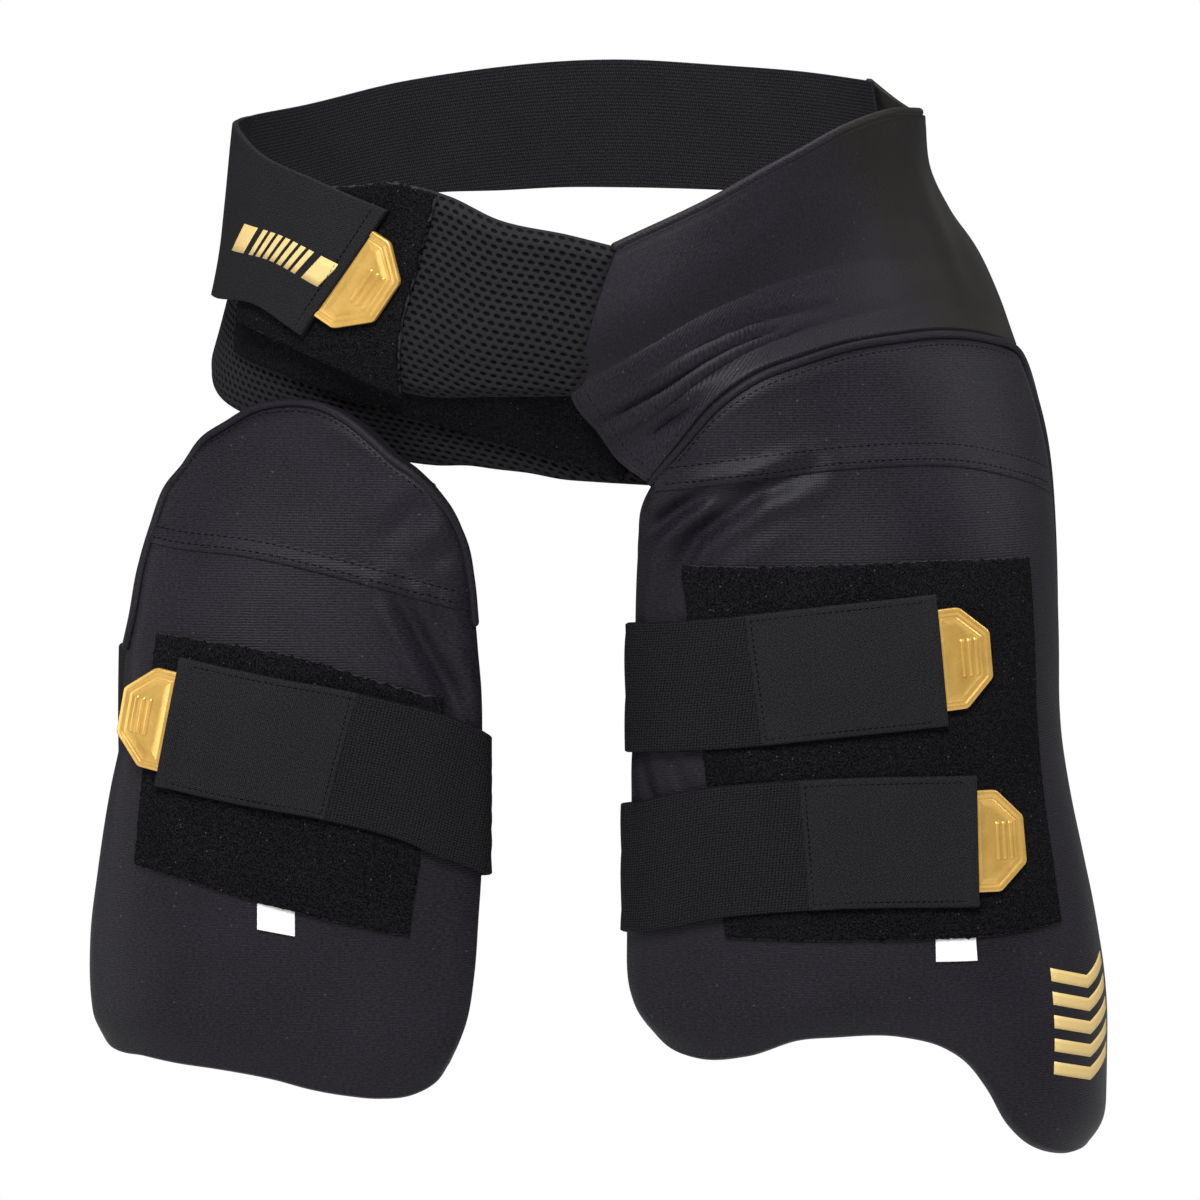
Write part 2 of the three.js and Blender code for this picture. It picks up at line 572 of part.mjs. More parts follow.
const innerPath = thighStrap('inner_strap', INNER_LEG, INNER_STRAP, 18.4, 51.5, -1)
add('outer_tab_upper', pullTab(OUTER_LEG, upperPath, 1, onPatch + TAB_STAND, TAB_SEAT), goldRubber)
add('outer_tab_lower', pullTab(OUTER_LEG, lowerPath, 1, onPatch + TAB_STAND, TAB_SEAT), goldRubber)
add('inner_tab', pullTab(INNER_LEG, innerPath, -1, onPatch + TAB_STAND, TAB_SEAT), goldRubber)

// Waist: layers outwards are the lower band, the tongue with its loop patch, and the strap's end
const bandLift = 0
const stripLift = bandLift + MESH_THICKNESS + 2 * LAYER_GAP
const tongueLift = stripLift + PATCH_THICKNESS + 2 * LAYER_GAP
const tonguePatchLift = tongueLift + MESH_THICKNESS + 2 * LAYER_GAP
const waistEndLift = tonguePatchLift + PATCH_THICKNESS + 2 * LAYER_GAP
const panelLift = tongueLift
const hemLift = tongueLift + 5 * LAYER_GAP

const strip = rows => waistRows(['angle', 'rise'], rows)
function waistSheet(top, bottom, across, down, lift, thickness) {
  const upper = edge(top)
  const lower = edge(bottom)
  const left = straight(upper(0), lower(0))
  const right = straight(upper(1), lower(1))
  return sheet(laidOn(WAIST, filled(upper, lower, left, right)), across, down, lift, () => lift + thickness)
}

const BAND_FLARE = 5
const BAND_TOP = strip([[-108, -0.2], [-90, -0.25], [-60, -0.5], [-30, -0.8], [0, -1.08], [24, -1.36]])
const BAND_BOTTOM = waistRows(['angle', 'rise', 'lift'], [
  [-104, -0.92, BAND_FLARE], [-90, -1.12, BAND_FLARE], [-76.5, -1.37, BAND_FLARE / 2],
  [-62, -1.56], [-50, -1.7], [-34.8, -1.79], [-27, -1.79], [-20.4, -1.815], [-11.4, -1.843], [-2.1, -1.888], [7.5, -1.908], [18, -1.925], [24, -1.935],
])
add('lower_band_mesh', waistSheet(BAND_TOP, BAND_BOTTOM, 20, 4, bandLift, MESH_THICKNESS), spacerMesh)

const STRIP_LOWER = waistRows(['angle', 'rise'], [
  [-71, -1.02], [-62.1, -1.105], [-36.5, -1.405], [-15.5, -1.608], [7.4, -1.817], [15.5, -1.88],
])
const raised = (rows, by) => rows.map(row => ({ ...row, height: row.height + by }))
add('lower_band_loop_strip', waistSheet(raised(STRIP_LOWER, LOOP_STRIP_WIDTH), STRIP_LOWER, 18, 3,
  stripLift, PATCH_THICKNESS), loopPile)

// The seam where the tongue joins the hip panel, from its top down
const SEAM = waistRows(['angle', 'rise'], [[9, -0.3], [6.1, -0.577], [3.3, -0.915], [1.4, -1.22]])
const TONGUE_TOP = strip([
  [-68, -0.05], [-55, 0.06], [-41.3, 0.108], [-31.9, 0.13], [-24.8, 0.062], [-15.1, -0.102],
  [-1.6, -0.203], [8.4, -0.29],
])
const TONGUE_BOTTOM = strip([
  [-68, -0.78], [-62, -0.83], [-47.5, -1.005], [-34.5, -1.228], [-17.9, -1.245], [0.8, -1.24],
])
const tongueTop = edge(TONGUE_TOP)
const tongueBottom = edge(TONGUE_BOTTOM)
const seamInset = new THREE.Vector3(-0.7, 0, 0)
const tongueRight = t => edge(SEAM)(t).add(seamInset)
const tongueFit = (curve, t) => curve(t).addScaledVector(tongueRight(curve === tongueTop ? 0 : 1).sub(curve(1)), t)
add('belt_tongue_mesh', sheet(laidOn(WAIST, filled(
  t => tongueFit(tongueTop, t), t => tongueFit(tongueBottom, t),
  straight(tongueTop(0), tongueBottom(0)), tongueRight)), 12, 6, tongueLift, () => tongueLift + MESH_THICKNESS),
  spacerMesh)

const TONGUE_PATCH_TOP = strip([[-63, 0.02], [-52, 0.08], [-41.3, 0.115], [-31.9, 0.135], [-24.8, 0.062]])
const TONGUE_PATCH_BOTTOM = strip([[-64.9, -0.81], [-56, -0.9], [-47.5, -1.005], [-34.4, -1.207]])
add('tongue_loop_patch', waistSheet(TONGUE_PATCH_TOP, TONGUE_PATCH_BOTTOM, 8, 5,
  tonguePatchLift, PATCH_THICKNESS), loopPile)

const WAIST_JOIN = 262.6
const END_LIFT = panelLift - GAP
const BACK_LIFT = 2 * LAYER_GAP + 1
const SIDE_LIFT = waistEndLift * 0.78
const LOW_LIFT = waistEndLift * 0.55
const ELASTIC_TOP = waistRows(['angle', 'rise', 'lift'], [
  [112.6, 1.0, END_LIFT], [127, 1.087, END_LIFT * 0.7], [145, 1.152, BACK_LIFT], [168, 1.2, BACK_LIFT],
  [180, 1.192, BACK_LIFT], [197.6, 1.145, BACK_LIFT], [220.8, 1.023, SIDE_LIFT * 0.3], [246, 0.8, SIDE_LIFT * 0.7],
  [WAIST_JOIN - 0.3, 0.7, SIDE_LIFT],
])
const ELASTIC_BOTTOM = waistRows(['angle', 'rise', 'lift'], [
  [112.6, 0.06, END_LIFT], [127, 0.158, END_LIFT * 0.7], [144.3, 0.197, BACK_LIFT], [168.9, 0.225, BACK_LIFT],
  [182.9, 0.225, BACK_LIFT], [197, 0.2, BACK_LIFT], [211.5, 0.18, SIDE_LIFT * 0.25], [230, 0.08, SIDE_LIFT * 0.4],
  [246, -0.07, SIDE_LIFT * 0.6], [WAIST_JOIN - 0.3, -0.27, LOW_LIFT],
])
add('waist_elastic', waistSheet(ELASTIC_TOP, ELASTIC_BOTTOM, 26, 3, 0, ELASTIC_THICKNESS), elastic)

const WAIST_END_TOP = waistRows(['angle', 'rise', 'lift'], [
  [WAIST_JOIN - 360, 0.7, SIDE_LIFT], [-86, 0.66, SIDE_LIFT], [-74, 0.59, waistEndLift], [-57.7, 0.327, waistEndLift],
  [-46.3, 0.178, waistEndLift], [-40.3, 0.085, waistEndLift], [-31.8, -0.04, waistEndLift],
])
const WAIST_END_BOTTOM = waistRows(['angle', 'rise', 'lift'], [
  [WAIST_JOIN - 360, -0.27, LOW_LIFT], [-90, -0.43, LOW_LIFT], [-81.6, -0.578, LOW_LIFT], [-70, -0.633, waistEndLift],
  [-58.5, -0.668, waistEndLift], [-47.2, -0.887, waistEndLift],
])
add('waist_strap_end', waistSheet(WAIST_END_TOP, WAIST_END_BOTTOM, 14, 3, 0, STRAP_END_THICKNESS), facing)

const endTop = WAIST_END_TOP.at(-1)
const endBottom = WAIST_END_BOTTOM.at(-1)
const endMiddle = { angle: (endTop.angle + endBottom.angle) / 2, height: (endTop.height + endBottom.height) / 2 }
const endSlope = (endTop.angle - endBottom.angle) * radians(1) * reach(WAIST, endMiddle.angle, endMiddle.height)
const endFall = (endTop.height - endBottom.height)
const endPath = t => ({
  angle: endMiddle.angle - (1 - t) * endFall / (radians(1) * reach(WAIST, endMiddle.angle, endMiddle.height)),
  height: endMiddle.height + (1 - t) * endSlope,
})
add('waist_pull_tab', pullTab(WAIST, endPath, 1, waistEndLift + TAB_STAND, WAIST_TAB_SEAT), goldRubber)

// Hip panel: from the belt's top edge down to the outer pad's piped edge, from the tongue's seam
// round to behind the hip
const PANEL_TOP = waistRows(['angle', 'rise'], [
  [9, -0.3], [24.8, -0.03], [36, 0.205], [43.7, 0.36], [52.1, 0.52], [63.9, 0.647], [74, 0.672],
  [82, 0.68], [93, 0.71], [104, 0.82], [112, 1.0],
])
const PANEL_REAR = waistRows(['angle', 'rise', 'lift'], [
  [112, 1, 0], [112, 0.5, HIP_STAND * 0.3], [110, 0.05, HIP_STAND * 0.85], [104, -0.3, HIP_STAND],
  [97, -0.65, HIP_STAND],
])
const PANEL_HEM = waistRows(['angle', 'rise'], [[1.6, -1.32], [7.5, -1.54], [12.5, -1.72]])
const pointsOn = (rows, lift) => rows.map(row => onBody(WAIST, row.angle, row.height, lift + (row.lift ?? 0)))
const smoothLine = points => {
  const curve = new THREE.CatmullRomCurve3(points, false, 'centripetal')
  return t => curve.getPointAt(clamp01(t))
}
const panelFoot = besideEdge(OUTER_LEG, OUTER_TOP, outerSeat + PIPING_RADIUS + 5 * GAP, -PAD_ROLL, 16)
const panelTop = smoothLine(pointsOn(PANEL_TOP, panelLift))
const panelLeft = smoothLine([...pointsOn(SEAM, panelLift), ...pointsOn(PANEL_HEM, hemLift), panelFoot[0]])
const panelRight = smoothLine([...pointsOn(PANEL_REAR, panelLift), panelFoot.at(-1)])
const panelFlat = filled(panelTop, smoothLine(panelFoot), panelLeft, panelRight)
const swell = (u, v) => (PANEL_SWELL * Math.sin(Math.PI * u) + HIP_SWELL * u ** 2) * Math.sin(Math.PI * v)
const panelSurface = (u, v) => panelFlat(u, v).addScaledVector(normalOf(panelFlat, u, v), swell(u, v))
add('hip_panel', sheet(panelSurface, 16, 10, 0, () => PANEL_THICKNESS), knit)
const HEM_END = 0.66
const HEM_POINTS = 18
const hemLine = Array.from({ length: HEM_POINTS }, (_, k) => {
  const u = k / (HEM_POINTS - 1) * HEM_END
  const top = panelSurface(u, 0)
  const along = panelSurface(u + 0.01, 0).sub(panelSurface(Math.max(0, u - 0.01), 0))
  const outward = normalOf(panelSurface, u, 0)
  const upward = outward.clone().cross(along).normalize()
  if (upward.z < 0) upward.negate()
  return top.addScaledVector(outward, PANEL_THICKNESS / 2)
    .addScaledVector(upward, PIPING_RADIUS + 3 * GAP)
})
add('hip_hem', piping(hemLine, PIPING_RADIUS, 20), knit)

export default guard
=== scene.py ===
"""Cricket lower-body guard: the cloth, foam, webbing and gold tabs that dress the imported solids.

Lengths are millimetres until a mesh is made, and the bodies, tables and layers follow the solids'
own. Angles are degrees about a body's upright axis, from straight ahead towards the wearer's left.
"""
import math

import bpy
import numpy as np
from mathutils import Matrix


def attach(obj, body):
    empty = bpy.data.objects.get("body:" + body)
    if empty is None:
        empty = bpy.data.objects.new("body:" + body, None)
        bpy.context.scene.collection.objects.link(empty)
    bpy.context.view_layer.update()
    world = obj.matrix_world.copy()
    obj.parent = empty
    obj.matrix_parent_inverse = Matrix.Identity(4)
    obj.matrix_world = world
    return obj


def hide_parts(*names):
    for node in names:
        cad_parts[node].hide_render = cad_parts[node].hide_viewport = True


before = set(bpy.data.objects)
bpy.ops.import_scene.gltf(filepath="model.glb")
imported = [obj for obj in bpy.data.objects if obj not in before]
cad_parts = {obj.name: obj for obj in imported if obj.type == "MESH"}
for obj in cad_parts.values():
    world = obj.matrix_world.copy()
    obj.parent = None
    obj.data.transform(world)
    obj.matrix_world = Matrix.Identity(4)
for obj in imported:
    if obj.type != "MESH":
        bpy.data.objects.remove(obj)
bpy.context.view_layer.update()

# Sizes, most of them shared with the solids
WAIST_RISE = 60
OUTER_TOP_Z, OUTER_TALL, OUTER_THICK, OUTER_WIDE = -53, 346, 16, 223
INNER_TOP_Z, INNER_TALL, INNER_THICK, INNER_WIDE = -80, 291, 14, 171
LEAN_RUN, TUCK_START, TUCK_RUN = 152, 45, 75
WING_FLARE_START, WING_FLARE_RUN, WING_FLARE_ANGLE = 150, 150, 70
PAD_ROLL, WALL_BULGE = 3.2, 1.6
ELASTIC_THICK, STRAP_WIDE, STRAP_END_THICK = 1.9, 54, 3
PATCH_THICK, MESH_THICK, PANEL_THICK, PANEL_SWELL = 1.8, 4, 3, 7
HIP_SWELL, HIP_STAND = 4, 20
HEM_THICK, PIPING_RADIUS, LOOP_STRIP_WIDE = 0.9, 1.9, 34
TAB_WIDE, TAB_DEEP, TAB_RIM, TAB_STAND, TAB_ROOT = 42, 21.5, 3, 1, 3
TAB_CHAMFER, TAB_SHOULDER, TAB_RIBS = 0.27, 0.42, (0.42, 0.56, 0.70)
LABEL_WIDE, LABEL_TALL, LABEL_THICK, LABEL_TUCK = 15.5, 9, 0.5, 2
GAP, LAYER_GAP = 0.3, 0.6

# Radii of the cut or turned edges of webbing, pile, mesh and hems
WEB_EDGE, PILE_EDGE, MESH_EDGE, HEM_EDGE = 0.6, 0.9, 0.8, 0.7

# Millimetres of cloth in a degree: for curves' speed and folds, and for the knit's place
DEGREE_RUN, DEGREE_CLOTH = 1.7, 1.6

WAIST = dict(x=0, y=0, left=137.5, right=152, front=114, back=114, power=2.2, spread=0.19, tuck=32,
             lean=0, yaw=0, flare=0, top=0)
OUTER_LEG = dict(x=118, y=-28, left=115, right=94.5, front=90, back=84, power=2.3, spread=0, tuck=0,
                 lean=22, yaw=0.5, flare=22.5, top=OUTER_TOP_Z)
INNER_LEG = dict(x=-125, y=-22, left=95, right=140, front=90, back=84, power=2.4, spread=0, tuck=0,
                 lean=27, yaw=-0.5, flare=0, top=INNER_TOP_Z)
SKIN = dict(left=70, right=75, front=72, back=84, power=2.1, spread=0, tuck=0)


# Curves and surfaces
def ease(t):
    """A smooth step: 0 below 0, 1 above 1, three t squared less two t cubed between."""
    t = np.clip(t, 0, 1)
    return t * t * (3 - 2 * t)


def mix(a, b, t):
    """a at t 0, b at t 1, straight between."""
    return a + (b - a) * t


def unit(vectors):
    """Vectors divided by their lengths."""
    return vectors / np.maximum(np.linalg.norm(vectors, axis=-1, keepdims=True), 1e-12)


def reach(body, angle, height):
    """Distance from a body's axis to its side: a superellipse with four half-widths, which spread
    and tuck with height."""
    side, ahead = np.sin(np.radians(angle)), np.cos(np.radians(angle))
    side_reach = np.where(side > 0, body["right"], body["left"]) - body["spread"] * height
    tuck = np.where(ahead > 0, body["tuck"] * ease((-height - TUCK_START) / TUCK_RUN), 0)
    rise = np.where(ahead > 0, 0, body["spread"] * height)
    ahead_reach = np.where(ahead > 0, body["front"], body["back"]) - tuck - rise
    total = np.abs(side / side_reach) ** body["power"] + np.abs(ahead / ahead_reach) ** body["power"]
    return total ** (-1 / body["power"])


def on_body(body, angle, height, lift=0.0, over=1.0):
    """A point at that angle and height on a body: its reach, mixed with the bare leg's reach where
    over is under 1, plus the lift, then tipped back towards the hip by a square of the height."""
    angle, height, lift, over = np.broadcast_arrays(angle, height, lift, over)
    low = (body["top"] - height - WING_FLARE_START) / WING_FLARE_RUN
    wing = ease(low) * ease(angle / WING_FLARE_ANGLE)
    face = reach(body, angle, height) + body["flare"] * wing
    radius = mix(reach(SKIN, angle, height), face, over) + lift
    x = radius * np.sin(np.radians(angle))
    y = -radius * np.cos(np.radians(angle))
    tip = np.maximum(0, 1 - (body["top"] - height) / LEAN_RUN) ** 2 if body["lean"] else 0.0
    return np.stack([body["x"] + x, body["y"] + y + tip * (body["lean"] + body["yaw"] * x), height], -1)


def body_normal(body, angle, height):
    """Outward normal of a body: the cross product of a small step down and a small step round."""
    across = on_body(body, angle + 0.2, height) - on_body(body, angle - 0.2, height)
    down = on_body(body, angle, height - 0.5) - on_body(body, angle, height + 0.5)
    return unit(np.cross(down, across))


def through(rows):
    """A smooth curve through rows of numbers: cubic pieces whose slope at a row is a weighted mean
    of the slopes beside it, run at a nearly even speed along angle and height."""
    rows = np.array(rows, float)
    step = np.hypot(np.diff(rows[:, 0]) * DEGREE_RUN, np.diff(rows[:, 1]))
    knots = np.concatenate([[0], np.cumsum(step)])
    secant = np.diff(rows, axis=0) / step[:, None]
    slope = np.empty_like(rows)
    slope[0], slope[-1] = secant[0], secant[-1]
    before, after = step[:-1, None], step[1:, None]
    slope[1:-1] = (secant[:-1] * after + secant[1:] * before) / (before + after)

    def curve(t):
        at = np.clip(np.asarray(t, float), 0, 1) * knots[-1]
        i = np.clip(np.searchsorted(knots, at, side="left") - 1, 0, len(step) - 1)
        h = step[i][..., None]
        s = ((at - knots[i]) / step[i])[..., None]
        return ((1 + 2 * s) * (1 - s) ** 2 * rows[i] + s * (1 - s) ** 2 * h * slope[i]
                + s * s * (3 - 2 * s) * rows[i + 1] + s * s * (s - 1) * h * slope[i + 1])
    return curve


def run_along(line):
    """Distances run along a line of points, from 0 at its first."""
    return np.concatenate([[0], np.cumsum(np.linalg.norm(np.diff(line, axis=0), axis=1))])


def smooth_line(points):
    """A centripetal Catmull-Rom curve through points in space, run at an even speed."""
    p = np.array(points, float)
    p = np.vstack([2 * p[0] - p[1], p, 2 * p[-1] - p[-2]])
    gap = np.linalg.norm(np.diff(p, axis=0), axis=1) ** 0.5
    s = np.linspace(0, 1, 60)[:, None]
    pieces = []
    for k in range(1, len(p) - 2):
        a, b, c = gap[k - 1], gap[k], gap[k + 1]
        start = ((p[k] - p[k - 1]) / a - (p[k + 1] - p[k - 1]) / (a + b) + (p[k + 1] - p[k]) / b) * b
        end = ((p[k + 1] - p[k]) / b - (p[k + 2] - p[k]) / (b + c) + (p[k + 2] - p[k + 1]) / c) * b
        pieces.append((2 * s ** 3 - 3 * s ** 2 + 1) * p[k] + (s ** 3 - 2 * s ** 2 + s) * start
                      + (3 * s ** 2 - 2 * s ** 3) * p[k + 1] + (s ** 3 - s ** 2) * end)
    line = np.vstack(pieces)
    run = run_along(line)

    def curve(t):
        at = np.clip(np.asarray(t, float), 0, 1) * run[-1]
        return np.stack([np.interp(at, run, line[:, k]) for k in range(3)], -1)
    return curve


def straight(a, b):
    """The straight run from a to b."""
    a, b = np.asarray(a, float), np.asarray(b, float)
    return lambda t: a + (b - a) * np.asarray(t, float)[..., None]


def filled(top, bottom, left, right):
    """A surface between four edge curves: the two blends of opposite edges added, less the blend
    of the four corners."""
    def patch(u, v):
        u, v = np.broadcast_arrays(u, v)
        a, b = u[..., None], v[..., None]
        point = top(u) * (1 - b) + bottom(u) * b + left(v) * (1 - a) + right(v) * a
        return (point - (1 - a) * (1 - b) * top(0) - a * (1 - b) * top(1)
                - (1 - a) * b * bottom(0) - a * b * bottom(1))
    return patch


def tangent_normal(surface, u, v, step=0.002):
    """Outward normal of a surface at any shares u and v, from small steps along both."""
    across = surface(np.minimum(1, u + step), v) - surface(np.maximum(0, u - step), v)
    down = surface(u, np.minimum(1, v + step)) - surface(u, np.maximum(0, v - step))
    return unit(np.cross(down, across))


def shares(length, cell, edge=0.5):
    """Shares from 0 to 1 along a length, one cell apart, with two closer lines at each end."""
    inner = np.linspace(2.5 * edge, length - 2.5 * edge, max(2, round(length / cell)))
    far = [length - edge, length - 0.4 * edge, length]
    return np.concatenate([[0, 0.4 * edge, edge], inner, far]) / length


def grid(across, down):
    """Two arrays of shares, across first."""
    return np.meshgrid(across, down, indexing="ij")


def normals_of(points):
    """Outward normals of a grid of points: the cross product of its steps down and across."""
    return unit(np.cross(np.gradient(points, axis=1), np.gradient(points, axis=0)))


def margins(points):
    """Distances in a grid of points from its left, right, top and bottom edges, along the grid."""
    across = np.linalg.norm(np.diff(points, axis=0), axis=2)
    down = np.linalg.norm(np.diff(points, axis=1), axis=2)
    left = np.concatenate([np.zeros((1, points.shape[1])), np.cumsum(across, axis=0)])
    top = np.concatenate([np.zeros((points.shape[0], 1)), np.cumsum(down, axis=1)], axis=1)
    return left, left[-1:] - left, top, top[:, -1:] - top


def rounding(distance, radius):
    """How far a rounded edge drops: a quarter circle of that radius, nothing further in."""
    inside = np.clip(1 - distance / radius, 0, 1)
    return radius * (1 - np.sqrt(1 - inside ** 2))


def valley(x, y, line, width, depth):
    """A fold along a line of points: a bell-shaped groove with a low ridge beside it, which fades
    at both ends."""
    near, along = np.full(np.shape(x), 1e9), np.zeros(np.shape(x))
    count = len(line) - 1
    for k in range(count):
        ax, ay = line[k]
        dx, dy = line[k + 1][0] - ax, line[k + 1][1] - ay
        s = np.clip(((x - ax) * dx + (y - ay) * dy) / (dx * dx + dy * dy), 0, 1)
        off = np.hypot(x - ax - s * dx, y - ay - s * dy)
        closer = off < near
        near, along = np.where(closer, off, near), np.where(closer, (k + s) / count, along)
    fade = np.sin(np.pi * np.clip(0.06 + 0.88 * along, 0, 1))
    ridge = 0.45 * np.exp(-((near - 2 * width) / width) ** 2)
    return -depth * fade * (np.exp(-(near / width) ** 2) - ridge)


def ripple(x, y, size, seed):
    """Slow unevenness of cloth over foam: four crossed sine waves of about that size."""
    rng = np.random.default_rng(seed)
    total = 0.0
    for _ in range(4):
        turn, phase = rng.uniform(0, math.pi), rng.uniform(0, 2 * math.pi)
        wave = (x * math.cos(turn) + y * math.sin(turn)) / (size * rng.uniform(0.7, 1.4))
        total = total + np.sin(2 * math.pi * wave + phase)
    return total / 4


# Meshes
def numbers(rows, columns, closed=False):
    """A table of point numbers. A closed one repeats its first column at its end."""
    table = np.arange(rows * columns).reshape(rows, columns)
    return np.concatenate([table, table[:, :1]], 1) if closed else table


def cells(number):
    """Four-cornered faces between neighbouring rows and columns of a table of point numbers."""
    corners = number[:-1, :-1], number[:-1, 1:], number[1:, 1:], number[1:, :-1]
    return np.stack(corners, -1).reshape(-1, 4)


def turned(faces):
    """Faces that look the other way, from the same first corner."""
    return faces[:, [0, 3, 2, 1]]


def border(number):
    """The point numbers round the border of a table."""
    return np.concatenate([number[0, :-1], number[:-1, -1], number[-1, :0:-1], number[:0:-1, 0]])


def slab(number):
    """Faces of a thin slab: its top, its underside, whose numbers follow the top's, and a wall."""
    top, ring, under = cells(number), border(number), number.size
    after = np.roll(ring, -1)
    wall = np.stack([ring, ring + under, after + under, after], -1)
    return np.concatenate([top, top[:, ::-1] + under, wall])


def corner_places(along, across):
    """Each face's four places on the cloth, from the places of its columns and rows."""
    s0, r0 = np.meshgrid(along[:-1], across[:-1], indexing="ij")
    s1, r1 = np.meshgrid(along[1:], across[1:], indexing="ij")
    corners = [np.stack(pair, -1) for pair in ((s0, r0), (s0, r1), (s1, r1), (s1, r0))]
    return np.stack(corners, 2).reshape(-1, 4, 2)


def put(name, points, quads, loop_uv, materials, region=None, rides="root"):
    """Makes an object from points in millimetres, four-cornered faces, each corner's place on the
    cloth in metres, and the number of each face's material."""
    mesh = bpy.data.meshes.new(name)
    mesh.vertices.add(len(points))
    mesh.vertices.foreach_set("co", (np.asarray(points, float) * 0.001).ravel())
    mesh.loops.add(quads.size)
    mesh.loops.foreach_set("vertex_index", quads.ravel().astype(np.int32))
    mesh.polygons.add(len(quads))
    mesh.polygons.foreach_set("loop_start", np.arange(0, quads.size, 4, dtype=np.int32))
    mesh.polygons.foreach_set("use_smooth", np.ones(len(quads), bool))
    if region is not None:
        mesh.polygons.foreach_set("material_index", region.astype(np.int32))
    layer = mesh.uv_layers.new(name="cloth")
    layer.data.foreach_set("uv", np.asarray(loop_uv, float).reshape(-1, 2).ravel())
    mesh.update(calc_edges=True)
    mesh.validate()
    for material in materials:
        mesh.materials.append(material)
    made = bpy.data.objects.new(name, mesh)
    bpy.context.scene.collection.objects.link(made)
    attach(made, rides)
    return made


def shell(name, surface_grid, inner, outer, materials, bulge=0.4, rim_rows=3, uv=None, region=(0, 0, 0)):
    """A closed skin of cloth or foam: the grid moved out by outer and by inner along its normals,
    and a rim between the two that bulges like half a sine wave. region numbers the materials of the
    outer face, the rim and the inner face."""
    normals = normals_of(surface_grid)
    outer_points = surface_grid + normals * np.broadcast_to(outer, surface_grid.shape[:2])[..., None]
    inner_points = surface_grid + normals * np.broadcast_to(inner, surface_grid.shape[:2])[..., None]
    number = numbers(*surface_grid.shape[:2])
    size = number.size
    if uv is None:
        left, _, top, _ = margins(surface_grid)
        uv = np.stack([left, -top], -1)
    uv = uv * 0.001
    front, back, ring = cells(number), turned(cells(number)), border(number)
    flat_uv = uv.reshape(-1, 2)
    o, i = outer_points.reshape(-1, 3)[ring], inner_points.reshape(-1, 3)[ring]
    along = np.roll(o, -1, axis=0) - np.roll(o, 1, axis=0)
    away = unit(np.cross(along, normals.reshape(-1, 3)[ring]))
    share = (np.arange(1, rim_rows + 1) / (rim_rows + 1))[:, None, None]
    rim = o * (1 - share) + i * share + away * bulge * np.sin(np.pi * share)
    points = np.concatenate([part.reshape(-1, 3) for part in (outer_points, inner_points, rim)])
    rows = np.concatenate([ring[None], 2 * size + numbers(rim_rows, len(ring)), (ring + size)[None]])
    rim_quads = turned(cells(np.concatenate([rows, rows[:, :1]], 1)))
    run = run_along(np.vstack([o, o[:1]])) * 0.001
    wall = np.linalg.norm(o - i, axis=1).mean() * 0.001 * np.arange(rim_rows + 2) / (rim_rows + 1)
    rim_uv = corner_places(run, -wall).reshape(len(ring), rim_rows + 1, 4, 2)
    rim_uv = rim_uv.transpose(1, 0, 2, 3).reshape(-1, 4, 2)
    quads = np.concatenate([front, rim_quads, back + size])
    loop_uv = np.concatenate([flat_uv[front], rim_uv, flat_uv[back]])
    slots = np.repeat(region, [len(front), len(rim_quads), len(back)])
    return put(name, points, quads, loop_uv, materials, slots)


def tube(name, centres, side, radius, materials, sides):
    """A round cord along a line of centres: a circle in the plane of the line's own side direction
    and the direction across both, with its ends drawn in to closed tips."""
    centres = np.asarray(centres, float)
    along = unit(np.gradient(centres, axis=0))
    side = unit(side - along * (side * along).sum(-1, keepdims=True))
    other = np.cross(along, side)
    turn = np.linspace(0, 2 * np.pi, sides, endpoint=False)
    ends = np.array([0.02, 0.55, 0.85])
    size = np.concatenate([ends, np.ones(len(centres)), ends[::-1]])
    push = np.array([1.0, 0.8, 0.45]) * radius
    spine = np.concatenate([centres[:1] - along[:1] * push[:, None], centres,
                            centres[-1:] + along[-1:] * push[::-1, None]])
    side, other = (np.concatenate([d[:1].repeat(3, 0), d, d[-1:].repeat(3, 0)]) for d in (side, other))
    ring = np.cos(turn)[None, :, None] * side[:, None] + np.sin(turn)[None, :, None] * other[:, None]
    points = spine[:, None] + ring * (radius * size)[:, None, None]
    number = numbers(len(spine), sides, closed=True)
    quads = cells(number)
    run = run_along(spine) * 0.001
    loop_uv = corner_places(run, np.arange(sides + 1) / sides * 2 * np.pi * radius * 0.001)
    caps = [np.stack([number[k][[0, 2 * j + 1, 2 * j + 2, 2 * j + 3]] for j in range((sides - 2) // 2)])
            for k in (0, -1)]
    caps[0] = caps[0][:, ::-1]
    quads = np.concatenate([quads, *caps])
    loop_uv = np.concatenate([loop_uv, np.zeros((2 * len(caps[0]), 4, 2))])
    return put(name, points.reshape(-1, 3), quads, loop_uv, materials)


STITCH_RINGS = ((-0.5, 0.3), (-0.36, 0.8), (0.0, 1.0), (0.36, 0.8), (0.5, 0.3))


